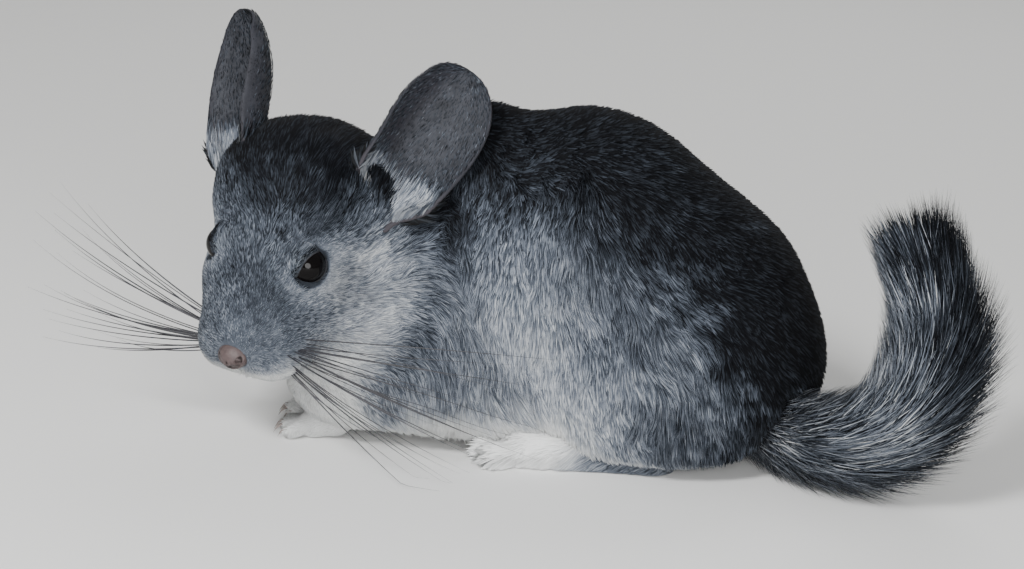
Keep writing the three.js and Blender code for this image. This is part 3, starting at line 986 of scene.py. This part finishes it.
class CHINCHILLA_OT_skin(bpy.types.Operator):
    """Makes the skin of the head, body, legs and feet as one piece"""

    bl_idname = "chinchilla.skin"
    bl_label = "Make skin"

    def execute(self, context):
        mesh = make_skin_mesh(sizes().skin_step * 1000)
        refine_face(mesh)
        points = mesh_points(mesh)
        normals = unit(slope_of(skin_form, points))
        add_value(mesh, "tone", tone_of(points, normals))
        set_points(mesh, place(points))
        material = coat_material("skin", *FINE_GRAIN, along=0.3)
        piece = new_piece("skin", mesh, material, FLESH)
        mesh.uv_layers.new(name="OFBake")
        context.view_layer.objects.active = piece
        piece.select_set(True)
        bpy.ops.object.mode_set(mode="EDIT")
        bpy.ops.mesh.select_all(action="SELECT")
        bpy.ops.uv.smart_project(angle_limit=math.radians(80), island_margin=0.001)
        bpy.ops.object.mode_set(mode="OBJECT")
        piece.select_set(False)
        if len(mesh.polygons) < 1000:
            raise RuntimeError("the skin has too few faces")
        return {"FINISHED"}


REGIONS = {
    "coat_face": vec(-88, -48, 50),
    "coat_crown": vec(-62, -14, 82),
    "coat_neck": vec(-36, -8, 74),
    "coat_chest": vec(-48, -12, 20),
    "coat_left_shoulder": vec(-8, -38, 46),
    "coat_right_shoulder": vec(-8, 38, 46),
    "coat_back": vec(22, 0, 105),
    "coat_left_haunch": vec(56, -48, 34),
    "coat_right_haunch": vec(56, 48, 34),
    "coat_rump": vec(92, 0, 50),
}
MOST_TUFTS = 48000  # in one piece
FOOT_DENSITY = 5.5


def tuft_density(points, normals):
    """How many tufts there are on a square millimetre."""
    nose = away_from(points, NOSE_PLACE)
    face = smooth(-np.minimum(nose, eye_distance(points) + 8), -46, -22)
    head = smooth(-away_from(to_head(points), 0, HEAD_REACH), -1.15, -0.85)
    dense = lerp(sizes().body_density, sizes().head_density, np.maximum(face, 0.35 * head))
    dense = lerp(dense, FOOT_DENSITY, foot_share(points))
    sole = smooth(points[:, 2], 0.4, 1.6)
    bare = smooth(eye_ring(points), 0.95, 1.08) * smooth(nose, 5.2, 6.2)
    under = 1 - 0.8 * smooth(-normals[:, 2], 0.9, 0.99) * smooth(-points[:, 2], -9, -6)
    return dense * bare * sole * under


class CHINCHILLA_OT_coat(bpy.types.Operator):
    """Covers the skin with tufts that follow the lie of the coat"""

    bl_idname = "chinchilla.coat"
    bl_label = "Make coat"

    def execute(self, context):
        skin = bpy.data.objects.get("skin")
        if skin is None:
            raise RuntimeError("the skin comes before the coat")
        rng = np.random.default_rng(5)
        roots, normals, spots = skin_sample(skin, tuft_density, rng)
        lies = lie_of(roots, normals)
        depth = np.maximum(-COAT_FORM(roots), 0.25)
        heights = np.clip(depth, 0.3, 5.2) * rng.uniform(0.6, 1.05, len(roots))
        heights = lerp(heights, lerp(0.9, 3.6, smooth(roots[:, 0], -30, -14)), foot_share(roots))
        lengths = np.minimum(heights * rng.uniform(0.95, 1.4, len(roots)), 6.5) + 0.5
        fringe = smooth(-roots[:, 2], -17, -9) * smooth(roots[:, 0], -70, -50) * smooth(-roots[:, 0], -40, -26)
        lengths = lengths * (1 + 0.8 * fringe)
        wide = sizes().tuft_width * 1000
        widths = np.clip(lengths * 0.085, 0.18, wide) * rng.uniform(0.7, 1.2, len(roots))
        tones, picks = tone_of(roots, normals), rng.random(len(roots))
        values = (roots, normals, lies, lengths, heights, widths, tones, picks, spots)
        material = coat_material("coat", *FINE_GRAIN)
        middles = np.array(list(REGIONS.values()))
        region = np.argmin(np.linalg.norm(roots[:, None] - middles[None], axis=2), axis=1)
        for index, name in enumerate(REGIONS):
            chosen = np.flatnonzero(region == index)
            pieces = max(1, math.ceil(len(chosen) / MOST_TUFTS))
            for number, part in enumerate(np.array_split(chosen[np.argsort(roots[chosen, 2])], pieces)):
                title = name if pieces == 1 else f"{name}_{number + 1}"
                coat_piece(title, *(rows[part] for rows in values), material, "coat")
        return {"FINISHED"}


class CHINCHILLA_OT_tail(bpy.types.Operator):
    """Makes the tail's core and its brush of long tufts"""

    bl_idname = "chinchilla.tail"
    bl_label = "Make tail"

    def execute(self, context):
        line, way, side, up, total = spine_curve()
        shares = np.linspace(0, 1, TAIL_STEPS)
        angles = np.linspace(0, 2 * math.pi, TAIL_SIDES, endpoint=False)
        radii = tail_core_radius(shares)
        rows = (
            line[:, None]
            + radii[:, None, None] * np.cos(angles)[None, :, None] * side[:, None]
            + radii[:, None, None] * np.sin(angles)[None, :, None] * up[:, None]
        )
        rows[:, :, 2] = np.maximum(rows[:, :, 2], 0.6)
        mesh = grid_mesh("tail_core", place(rows), around=True)
        with editing(mesh) as made:
            bmesh.ops.holes_fill(made, edges=[edge for edge in made.edges if edge.is_boundary])
            bmesh.ops.recalc_face_normals(made, faces=made.faces[:])
        add_value(mesh, "tone", self.tones(rows.reshape(-1, 3), np.repeat(shares, TAIL_SIDES)))
        new_piece("tail_core", mesh, coat_material("tail_skin", 0.4, 260.0, along=0.3), TAIL_NODES)

        rng = np.random.default_rng(9)
        count = sizes().tail_hairs
        share = rng.uniform(0.0, 1.0, count) ** 0.92
        angle = rng.uniform(0, 2 * math.pi, count)
        step = np.minimum((share * (TAIL_STEPS - 1)).astype(int), TAIL_STEPS - 1)
        out = np.cos(angle)[:, None] * side[step] + np.sin(angle)[:, None] * up[step]
        core = tail_core_radius(share)
        roots = line[step] + out * (core * 0.9)[:, None]
        length = rng.uniform(13, 30, count) * lerp(0.6, 1.05, smooth(share, 0, 0.45))
        reach = np.minimum(share + length / total, rng.uniform(1.02, 1.17, count))
        end = np.minimum((np.minimum(reach, 1) * (TAIL_STEPS - 1)).astype(int), TAIL_STEPS - 1)
        beyond = np.maximum(reach - 1, 0)[:, None] * total * way[end]
        out_end = np.cos(angle)[:, None] * side[end] + np.sin(angle)[:, None] * up[end]
        fan = 1 + 0.4 * np.maximum(out_end[:, 0], 0) * smooth(np.minimum(reach, 1), 0.25, 0.55)
        spread = brush_radius(np.minimum(reach, 1.0)) * fan * rng.uniform(0.5, 1.08, count)
        tips = line[end] + beyond + out_end * spread[:, None]
        tips[:, 2] = np.maximum(tips[:, 2], rng.uniform(0.5, 2.5, count))
        roots[:, 2] = np.maximum(roots[:, 2], 0.6)
        chord = tips - roots
        lie = unit(chord)
        normal = unit(out - (out * lie).sum(1)[:, None] * lie)
        tones = self.tones(roots + chord * 0.6, share) + 0.19 * rng.normal(size=count)
        picks = rng.random(count)
        spots = np.stack([share * 0.98, angle / (2 * math.pi) * 0.98], axis=1)
        material = coat_material("tail_hair", 0.35, 240.0)
        for number, part in enumerate(np.array_split(np.argsort(share), math.ceil(count / MOST_TAIL_TUFTS))):
            self.brush(
                f"tail_brush_{number + 1}", roots[part], lie[part], normal[part], chord[part], rng,
                tones[part], picks[part], spots[part], material,
            )
        return {"FINISHED"}

    @staticmethod
    def tones(points, share):
        """Darker at the outer side, the bend and the tip."""
        outer = smooth(points[:, 0] + 0.2 * points[:, 2], 128, 152)
        tip = smooth(share, 0.75, 1.0)
        base = 0.59 + 0.07 * waves(points, 9, 21)
        bend = 0.10 * np.exp(-(((share - 0.32) / 0.14) ** 2))
        return base + bend + 0.38 * outer + 0.16 * tip

    @staticmethod
    def brush(name, roots, lie, normal, chord, rng, tones, picks, spots, material):
        count = len(roots)
        across = unit(np.cross(normal, lie))
        long = np.linalg.norm(chord, axis=1)
        bow = normal * (long * rng.uniform(0.02, 0.12, count))[:, None]
        stray = across * (long * rng.normal(0, 0.06, count))[:, None]
        width = rng.uniform(0.32, 0.62, count)
        half, ridge = across * (width * 0.5)[:, None], normal * (width * 0.4)[:, None]
        middle = roots + chord * 0.5 + bow + stray * 0.4
        tip = roots + chord + stray
        low = [roots - half, roots + half, roots + ridge]
        high = [middle - half * 0.8, middle + half * 0.8, middle + ridge * 0.8]
        rows = np.stack([*low, *high, tip], axis=1)
        outward = normal[:, None] * 0.6 + LONG_ACROSS[None, :, None] * across[:, None] * 1.3
        tuft_mesh(name, rows, (LONG_FACES, LONG_ALONG, LONG_ACROSS), outward, tones, picks, spots, material)


# Each row of the lids has its width over the opening's, and its distance over the eyeball's radius.
LID_PROFILE = ((0.94, 0.985), (0.97, 1.03), (1.03, 1.05), (1.12, 1.05), (1.24, 1.02), (1.42, 0.95), (1.55, 0.80))
LID_COLUMNS = 72
LID_HAIRS = 1500


def add_smoothing(piece):
    fine = piece.modifiers.new("soft", "SUBSURF")
    fine.levels = fine.render_levels = 1


class CHINCHILLA_OT_eyes(bpy.types.Operator):
    """Makes the eyeballs and their lids"""

    bl_idname = "chinchilla.eyes"
    bl_label = "Make eyes"

    def execute(self, context):
        ball_finish, tree, shader = new_material("eye")
        iris = ramp(tree, value_of(tree, "iris"), ((0.52, (0.0015, 0.0013, 0.0015)), (0.62, colours().eye)))
        fleck = math_node(tree, "MULTIPLY", noise(tree, 1500.0, 3.0), 0.15)
        colour = mix_colours(tree, fleck, iris, (0.010, 0.007, 0.006, 1), "SCREEN")
        set_inputs(tree, shader, {"Base Color": colour, "Roughness": 0.04, "Specular IOR Level": 0.12})
        lid_finish, tree, shader, colour = skinlike_material(
            "lid", (0.010, 0.010, 0.012), (0.022, 0.022, 0.026), 0.6, 900.0, 0.0001,
        )
        fade = mix_colours(tree, value_of(tree, "away"), colour, (0.10, 0.115, 0.135, 1))
        set_inputs(tree, shader, {"Base Color": fade, "Specular IOR Level": 0.2})
        hair = coat_material("lid_hair", *FINE_GRAIN)
        rng = np.random.default_rng(4)
        for name, side in SIDES.items():
            axes = eye_axes(side)
            centre = EYE_SEATS[name] - axes[0] * EYE_DEPTH
            self.eyeball(name, centre, axes, ball_finish)
            rows = self.lids(name, centre, axes, lid_finish)
            self.lid_hair(name, centre, rows, hair, rng)
        return {"FINISHED"}

    @staticmethod
    def eyeball(name, centre, axes, material):
        """A ball with a slightly raised cornea."""
        out, along, up = axes
        mesh = bpy.data.meshes.new(f"{name}_eyeball")
        iris = []
        with editing(mesh) as made:
            bmesh.ops.create_uvsphere(made, u_segments=64, v_segments=40, radius=1)
            for vert in made.verts:
                x, y, z = vert.co
                angle = math.acos(max(-1, min(1, z)))
                swell = 1 + 0.035 * math.cos(min(angle / 0.9, 1) * math.pi / 2) ** 2
                point = centre + EYEBALL_RADIUS * swell * (x * along + y * up + z * out)
                vert.co = Vector(place(point))
                iris.append(angle / (math.pi / 2))
            bmesh.ops.recalc_face_normals(made, faces=made.faces[:])
        add_value(mesh, "iris", iris)
        new_piece(f"{name}_eyeball", mesh, material, [f"{name}_eye"])

    @staticmethod
    def lids(name, centre, axes, material):
        """A soft rim round an almond opening, which runs from inside the eyeball's front out under the coat."""
        out, along, up = axes
        opening = []
        for turn in np.linspace(0, 2 * math.pi, LID_COLUMNS, endpoint=False):
            x, y = math.cos(turn), math.sin(turn)
            high = 0.66 if y > 0 else 0.62
            corner = 1 + 0.10 * max(abs(x) - 0.85, 0) / 0.15
            opening.append((x * 0.93 * corner, y * high * (1 - 0.12 * x * x) - 0.05 * x))
        rows = []
        for wide, reach in LID_PROFILE:
            row = []
            for x, y in opening:
                flat = np.array((x, y * lerp(1, 1.28, smooth(wide, 1.05, 1.42)))) * wide
                size = np.linalg.norm(flat)
                depth = math.sqrt(max(1 - min(size, 0.98) ** 2, 0.01))
                point = unit(flat[0] * along + flat[1] * up + depth * out) * EYEBALL_RADIUS * reach
                if size > 0.98:
                    outward = unit(flat[0] * along + flat[1] * up)
                    point = point + outward * (size - 0.98) * 6.0 - out * (size - 0.98) * 4.0
                row.append(centre + point)
            rows.append(row)
        rows = np.array(rows)
        mesh = grid_mesh(f"{name}_lids", place(rows), around=True)
        add_value(mesh, "away", np.repeat(smooth(np.arange(len(LID_PROFILE)), 1.4, 3.2), len(opening)))
        with editing(mesh) as made:
            bmesh.ops.recalc_face_normals(made, faces=made.faces[:])
            made.faces.ensure_lookup_table()
            face = made.faces[LID_COLUMNS * 3]
            if face.normal.dot(face.calc_center_median() - Vector(place(centre))) < 0:
                bmesh.ops.reverse_faces(made, faces=made.faces[:])
        piece = new_piece(f"{name}_lids", mesh, material)
        thick = piece.modifiers.new("thickness", "SOLIDIFY")
        thick.thickness = 0.0004
        thick.offset = -1
        add_smoothing(piece)
        return rows

    @staticmethod
    def lid_hair(name, centre, rows, material, rng):
        """Short hair on the lids, which runs back from the nose."""
        ring = rng.uniform(1.9, len(rows) - 1.6, LID_HAIRS)
        turn = rng.uniform(0, rows.shape[1], LID_HAIRS)
        low, share = ring.astype(int), (ring % 1)[:, None]
        step, part = turn.astype(int), (turn % 1)[:, None]
        after = (step + 1) % rows.shape[1]
        inside = lerp(rows[low, step], rows[low, after], part)
        roots = lerp(inside, lerp(rows[low + 1, step], rows[low + 1, after], part), share)
        normals = unit(roots - centre)
        lies = lie_of(roots, normals)
        lengths = lerp(0.9, 2.6, smooth(ring, 1.9, 4)) * rng.uniform(0.7, 1.2, LID_HAIRS)
        outer = smooth(ring, 1.2, 3.4)
        tones = tone_of(roots, normals) * outer + 0.75 * (1 - outer)
        spots = np.stack([ring / len(rows), turn / rows.shape[1] * 0.98], axis=1)
        coat_piece(
            f"{name}_lid_hair", roots, normals, lies, lengths, lengths * 0.28, np.full(LID_HAIRS, 0.24), tones,
            rng.random(LID_HAIRS), spots, material, "coat",
        )


NOSE_EGG = egg(NOSE_PLACE, NOSE_RADII, HEAD_TURN)


def nose_form(points):
    """The nose pad with its nostrils and the groove between them."""
    near = NOSE_EGG(points)
    for side in SIDES.values():
        inner = in_head(39.9, side * 1.7, -8.2)
        outer = in_head(38.0, side * 4.3, -4.8)
        near = carve(near, limb(inner, outer, 1.25, 0.85)(points), 0.6)
    near = carve(near, egg(in_head(40.5, 0, -9.4), vec(3.2, 0.32, 3.6), HEAD_TURN)(points), 0.6)
    return near


class CHINCHILLA_OT_nose(bpy.types.Operator):
    """Makes the nose pad with its two nostrils"""

    bl_idname = "chinchilla.nose"
    bl_label = "Make nose"

    def execute(self, context):
        mesh = bpy.data.meshes.new("nose_pad")
        with editing(mesh) as made:
            bmesh.ops.create_icosphere(made, subdivisions=6, radius=1)
        points = (mesh_points(mesh) * NOSE_RADII) @ HEAD_TURN.T + NOSE_PLACE
        points = settle(nose_form, points, 16, 0.3)
        # How deep the nostrils and the groove are cut, for painted shade in them.
        add_value(mesh, "hollow_shade", smooth(-NOSE_EGG(points), 0.08, 0.4))
        set_points(mesh, place(points))
        red, green, blue = colours().nose
        material, tree, shader, colour = skinlike_material(
            "nose", (red * 0.7, green * 0.7, blue * 0.72), (red, green, blue), 0.45, 900.0, 0.00015,
        )
        # The nostrils and the groove are darkened nearly to black: painted shade.
        dark = mix_colours(tree, value_of(tree, "hollow_shade"), colour, (0.008, 0.005, 0.005, 1))
        set_inputs(tree, shader, {"Base Color": dark, "Specular IOR Level": 0.3})
        new_piece("nose_pad", mesh, material, ["nose"])
        return {"FINISHED"}


EAR_ROOTS = {"left": in_head(-20, 28, 19), "right": in_head(-20, -26, 20)}
EAR_LEANS = {"left": vec(24, 12, 41), "right": vec(0, 12, 42)}
EAR_FACES = {"left": vec(0.04, -0.98, 0.1), "right": vec(-0.84, -0.52, 0.1)}
EAR_FRONTS = {"left": -1, "right": 1}
# The right ear's hair is darker than the left's: painted shade.
EAR_TONES_AND_SHADE = {"left": 0.84, "right": 0.94}
EAR_LENGTH, EAR_WIDTH, EAR_SUNK = 49, 38, 9
EAR_HAIRS = 9000


def ear_axes(name):
    along = unit(EAR_LEANS[name])
    across = unit(np.cross(along, EAR_FACES[name]))
    return along, across, np.cross(across, along)


def ear_point(name, u, v, out):
    """Points of an ear's shell: u runs across it from -1 to 1, v from its root to its tip."""
    u, v, out = np.broadcast_arrays(np.asarray(u, float), v, out)
    along, across, open_way = ear_axes(name)
    root = EAR_ROOTS[name] - along * EAR_SUNK
    total = EAR_LENGTH + EAR_SUNK
    top = np.sqrt(np.maximum(1 - ((v - 0.5) / 0.5) ** 2, 0.0))
    stem = lerp(0.76, 1, np.sin(np.minimum(v, 0.5) * math.pi))
    half = EAR_WIDTH / 2 * np.where(v < 0.5, stem, top) * lerp(0.45, 1, smooth(v, 0.02, 0.2))
    bend = lerp(1.55, 0.7, np.minimum(v * 1.3, 1))
    radius = half / bend
    ahead = u * EAR_FRONTS[name]
    curl = np.maximum(ahead - 0.62, 0) / 0.38
    rolled = curl**2 * smooth(v, 0.15, 0.45) * smooth(-v, -1, -0.8)
    fold = 1.1 * np.sin(v * 9) * np.exp(-(((u - 0.1) / 0.35) ** 2)) * (1 - v)
    groove = -1.6 * np.exp(-(((ahead - 0.45) / 0.14) ** 2)) * smooth(v, 0.1, 0.3) * smooth(-v, -0.95, -0.6)
    shell = radius + out
    angle = bend * u
    rise = lerp(v, np.sin(v * math.pi / 2), 0.25) * total
    wide = np.sin(angle) * shell * (1 - 0.16 * rolled)
    deep = radius - np.cos(angle) * shell - half * 0.4 + fold + groove + 3.4 * rolled
    return root + along * rise[..., None] + across * wide[..., None] + open_way * deep[..., None]


class CHINCHILLA_OT_ears(bpy.types.Operator):
    """Makes the two ears with their rolled front rims and fine hair"""

    bl_idname = "chinchilla.ears"
    bl_label = "Make ears"

    def execute(self, context):
        red, green, blue = colours().ear
        material, tree, shader, colour = skinlike_material(
            "ear", (red * 0.7, green * 0.7, blue * 0.7), (red * 1.3, green * 1.3, blue * 1.3), 0.66, 170.0, 0.00025,
        )
        pink = mix_colours(tree, value_of(tree, "flush"), colour, (0.12, 0.095, 0.10, 1))
        shaded = mix_colours(tree, value_of(tree, "shade"), pink, (0.02, 0.02, 0.026, 1))
        set_inputs(tree, shader, {"Base Color": shaded, "Sheen Weight": 0.03, "Specular IOR Level": 0.15})
        hair = coat_material("ear_hair", 0.3, 300.0)
        rng = np.random.default_rng(8)
        for name in SIDES:
            self.ear(name, material)
            self.hairs(name, hair, rng)
        return {"FINISHED"}

    @staticmethod
    def hairs(name, material, rng):
        """Fine down on both faces of an ear, longer and whiter at its base."""
        v = 0.06 + 0.92 * rng.random(EAR_HAIRS) ** 1.5
        u = rng.uniform(-1, 1, EAR_HAIRS)
        out = np.where(rng.random(EAR_HAIRS) < 0.6, 0.0, 1.0)
        roots = ear_point(name, u, v, out)
        lies = unit(ear_point(name, u, v + 0.005, out) - roots)
        normals = unit(np.cross(ear_point(name, u + 0.01, v, out) - roots, lies))
        facing = (normals @ ear_axes(name)[2]) * np.where(out > 0, -1, 1)
        normals = normals * np.where(facing < 0, -1, 1)[:, None]
        base = smooth(-v, -0.38, -0.14)
        lengths = lerp(1.6, 6.0, base) * rng.uniform(0.6, 1.2, EAR_HAIRS)
        heights = lengths * lerp(0.22, 0.45, base)
        tones = np.where(out > 0, 0.86, lerp(EAR_TONES_AND_SHADE[name], 0.42, base)) + 0.08 * rng.normal(size=EAR_HAIRS)
        spots = np.stack([(u + 1) * 0.49, v * 0.98], axis=1)
        coat_piece(
            f"{name}_ear_hair", roots, normals, lies, lengths, heights, lerp(0.15, 0.24, base), tones,
            rng.random(EAR_HAIRS), spots, material, "ear",
        )

    @staticmethod
    def ear(name, material):
        """An ear's shell of two layers, closed along its rim."""
        columns, rows = 48, 56
        across = np.linspace(-1, 1, columns + 1)
        heights = 1 - (1 - np.linspace(0, 1, rows + 1)) ** 1.35
        faces, points, flush, shade = [], [], [], []
        for layer in (0.0, 1.0):
            for v in heights:
                for u in across:
                    thick = lerp(1.5, 0.75, min(v * 1.5, 1)) + 0.35 * smooth(abs(u), 0.86, 1.0)
                    points.append(ear_point(name, u, min(v, 0.9995), layer * thick))
                    flush.append(float(smooth(-v, -0.36, -0.2)) * 0.35)
                    rim = float(smooth(abs(u), 0.84, 1.0)) * 0.7
                    band = 0.9 * float(smooth(u * EAR_FRONTS[name], 0.1, 0.45)) * float(smooth(v, 0.15, 0.4))
                    shade.append(max(rim, band) if layer == 0 else 0.5)
        wide = columns + 1
        size = wide * (rows + 1)
        for j in range(rows):
            for i in range(columns):
                a = j * wide + i
                faces.append((a, a + 1, a + wide + 1, a + wide))
                faces.append((a + size, a + wide + size, a + wide + 1 + size, a + 1 + size))
        rim = [j * wide for j in range(rows, 0, -1)] + list(range(columns))
        rim += [j * wide + columns for j in range(rows)] + [rows * wide + i for i in range(columns, 0, -1)]
        for index, a in enumerate(rim):
            b = rim[(index + 1) % len(rim)]
            faces.append((b, a, a + size, b + size))
        mesh = bpy.data.meshes.new(f"{name}_ear_shell")
        mesh.from_pydata([tuple(p) for p in place(np.array(points))], [], faces)
        add_value(mesh, "flush", flush)
        add_value(mesh, "shade", shade)
        with editing(mesh) as made:
            bmesh.ops.remove_doubles(made, verts=made.verts[:], dist=0.00002)
            bmesh.ops.recalc_face_normals(made, faces=made.faces[:])
        add_smoothing(new_piece(f"{name}_ear_shell", mesh, material, [f"{name}_ear"]))


WHISKER_RISES = {1: -0.24, -1: 0.12}  # on the left and the right side


class CHINCHILLA_OT_whiskers(bpy.types.Operator):
    """Makes the long whiskers on both sides of the muzzle"""

    bl_idname = "chinchilla.whiskers"
    bl_label = "Make whiskers"

    def execute(self, context):
        red, green, blue = colours().whisker
        material, *_ = skinlike_material(
            "whisker", (red, green, blue), (red * 2.5, green * 2.5, blue * 2.5), 0.34, 60.0, 0.00002,
        )
        rng = np.random.default_rng(3)
        for name, side in SIDES.items():
            curves, tapers = [], []
            count = sizes().whisker_count
            for spot in np.arange(count) / max(count - 1, 1):
                curve = self.whisker(side, spot, rng)
                share = np.linspace(0, 1, len(curve))
                curves.append(curve)
                tapers.append(np.maximum(1 - share**1.6, 0.12) * rng.uniform(0.6, 1.1))
            strands(
                f"{name}_whiskers", curves, sizes().whisker_thickness * 1000, tapers, material, 6,
                [f"{name}_whisker_pad"],
            )
        return {"FINISHED"}

    @staticmethod
    def whisker(side, share, rng):
        """A curve from the muzzle that bends back, and is kept out of the coat."""
        row = rng.integers(0, 4)
        forward, high = lerp(0.45, -0.30, share) + rng.normal(0, 0.05), 0.34 - 0.24 * row + rng.normal(0, 0.04)
        spot = unit(head_way(forward, side, high))
        root = touch(COAT_FORM, in_head(26, side * 5, -12), spot, 40) - spot * 1.6
        rise = WHISKER_RISES[side] + 0.18 - 0.13 * row + rng.normal(0, 0.05)
        way = unit(head_way(lerp(0.45, -0.15, share) + rng.normal(0, 0.06), side, rise))
        size = lerp(55, 98, rng.random() ** 0.7) * lerp(0.8, 1, share)
        droop = head_way(-0.22, 0, -0.12) * size * rng.uniform(0.7, 1.3)
        bend = root + way * size * 0.3 + spot * size * 0.15
        end = root + way * size * 0.9 + droop
        t = np.linspace(0, 1, 22)[:, None]
        curve = root * (1 - t) ** 2 + bend * 2 * t * (1 - t) + end * t * t
        near = COAT_FORM(curve)
        push = np.clip(0.8 - near, 0, 12) * smooth(t[:, 0], 0.12, 0.4)
        curve = curve + unit(slope_of(COAT_FORM, curve)) * push[:, None]
        curve[:, 2] = np.maximum(curve[:, 2], 1.2)
        return curve


class CHINCHILLA_OT_claws(bpy.types.Operator):
    """Makes a small claw at the end of each toe"""

    bl_idname = "chinchilla.claws"
    bl_label = "Make claws"

    def execute(self, context):
        material, *_ = skinlike_material("claw", (0.10, 0.08, 0.075), (0.28, 0.24, 0.22), 0.35, 700.0, 0.00004)
        curves, tapers = [], []
        for kind, size in (("forepaw", 3.0), ("hind_foot", 4.0)):
            for side in SIDES.values():
                for tip in toe_tips(kind, side):
                    t = np.linspace(0, 1, 8)[:, None]
                    start = tip + vec(-1.0, 0, 1.0)
                    curve = start + vec(-size, 0, 0) * t + vec(0, 0, -1) * (t**2 * (start[2] - 0.5))
                    curves.append(curve)
                    tapers.append(np.maximum(1 - t[:, 0] ** 1.3, 0.06))
        strands("claws", curves, 1.3, tapers, material, 8)
        return {"FINISHED"}


class CHINCHILLA_OT_stage(bpy.types.Operator):
    """Makes the plain floor, the soft lights and the camera"""

    bl_idname = "chinchilla.stage"
    bl_label = "Make stage"

    def execute(self, context):
        self.floor()
        self.lights()
        self.camera()
        return {"FINISHED"}

    @staticmethod
    def floor():
        """A plain floor that curves up behind the model."""
        material, tree, shader = new_material("floor")
        patches = math_node(tree, "MULTIPLY", noise(tree, 3.0, 2.0), 0.06)
        shade = mix_colours(tree, patches, (*colours().floor, 1), (0.72, 0.72, 0.72, 1))
        set_inputs(tree, shader, {"Base Color": shade, "Roughness": 0.9})
        rows = []
        for turn in np.linspace(0, math.pi / 2, 18):
            rows.append([(x, 2.2 + math.sin(turn) * 1.6, 1.6 - math.cos(turn) * 1.6) for x in (-6, 6)])
        rows = [[(-6, -4, 0), (6, -4, 0)]] + rows + [[(-6, 3.8, 5), (6, 3.8, 5)]]
        mesh = grid_mesh("floor", np.array(rows, float))
        mesh.materials.append(material)
        mesh.shade_smooth()
        floor = add_object("floor", mesh)

    @staticmethod
    def lights():
        world = bpy.data.worlds.new("studio")
        world.use_nodes = True
        sky = world.node_tree.nodes["Background"]
        sky.inputs["Color"].default_value = (1.0, 1.0, 0.99, 1)
        sky.inputs["Strength"].default_value = 0.36
        bpy.context.scene.world = world
        for name, spot, size, power in (
            ("key", (-0.45, -0.85, 0.85), 0.3, 16.0),
            ("fill", (0.1, -1.05, 0.3), 0.6, 12.0),
            ("rim", (0.25, 0.9, 0.9), 0.7, 4.0),
        ):
            data = bpy.data.lights.new(name, "AREA")
            data.shape, data.size, data.energy = "DISK", size, power
            lamp = add_object(name, data)
            lamp.location = spot
            lamp.rotation_mode = "QUATERNION"
            lamp.rotation_quaternion = (Vector((0, 0, 0.05)) - Vector(spot)).to_track_quat("-Z", "Y")

    @staticmethod
    def camera():
        """The photo's view: from the left, 16 degrees up, and rolled by 4 degrees."""
        rise, roll, far = math.radians(16), math.radians(4), 1.0
        across = IMAGE_WIDTH * PIXEL / 1000
        data = bpy.data.cameras.new("camera")
        data.sensor_width = 36
        data.lens = 36 * far / across
        data.clip_start = 0.02
        data.clip_end = 50
        camera = add_object("camera", data)
        back = Vector((0, -math.cos(rise), math.sin(rise)))
        camera.location = Vector(place(vec(0, 0, 50))) + back * far
        look = (-back).to_track_quat("-Z", "Y").to_matrix()
        camera.rotation_mode = "QUATERNION"
        camera.rotation_quaternion = (look @ Matrix.Rotation(roll, 3, "Z")).to_quaternion()
        bpy.context.scene.camera = camera


class CHINCHILLA_PT_panel(bpy.types.Panel):
    """Lists the chinchilla's settings and pieces"""

    bl_idname = "CHINCHILLA_PT_panel"
    bl_label = "Chinchilla"
    bl_space_type = "VIEW_3D"
    bl_region_type = "UI"
    bl_category = "Chinchilla"

    def draw(self, context):
        for group in (context.scene.chinchilla_sizes, context.scene.chinchilla_colours):
            for name in group.__annotations__:
                self.layout.prop(group, name)
        for operator in OPERATORS:
            self.layout.operator(operator.bl_idname)


OPERATORS = (
    CHINCHILLA_OT_skin,
    CHINCHILLA_OT_coat,
    CHINCHILLA_OT_tail,
    CHINCHILLA_OT_eyes,
    CHINCHILLA_OT_nose,
    CHINCHILLA_OT_ears,
    CHINCHILLA_OT_whiskers,
    CHINCHILLA_OT_claws,
    CHINCHILLA_OT_stage,
)
CLASSES = (ChinchillaSizes, ChinchillaColours, *OPERATORS, CHINCHILLA_PT_panel)


def register():
    for item in CLASSES:
        bpy.utils.register_class(item)
    bpy.types.Scene.chinchilla_sizes = bpy.props.PointerProperty(type=ChinchillaSizes)
    bpy.types.Scene.chinchilla_colours = bpy.props.PointerProperty(type=ChinchillaColours)


def unregister():
    del bpy.types.Scene.chinchilla_colours
    del bpy.types.Scene.chinchilla_sizes
    for item in reversed(CLASSES):
        bpy.utils.unregister_class(item)


def main():
    register()
    bpy.ops.chinchilla.skin()
    bpy.ops.chinchilla.coat()
    bpy.ops.chinchilla.tail()
    bpy.ops.chinchilla.eyes()
    bpy.ops.chinchilla.nose()
    bpy.ops.chinchilla.ears()
    bpy.ops.chinchilla.whiskers()
    bpy.ops.chinchilla.claws()
    bpy.ops.chinchilla.stage()


if __name__ == "__main__":
    main()
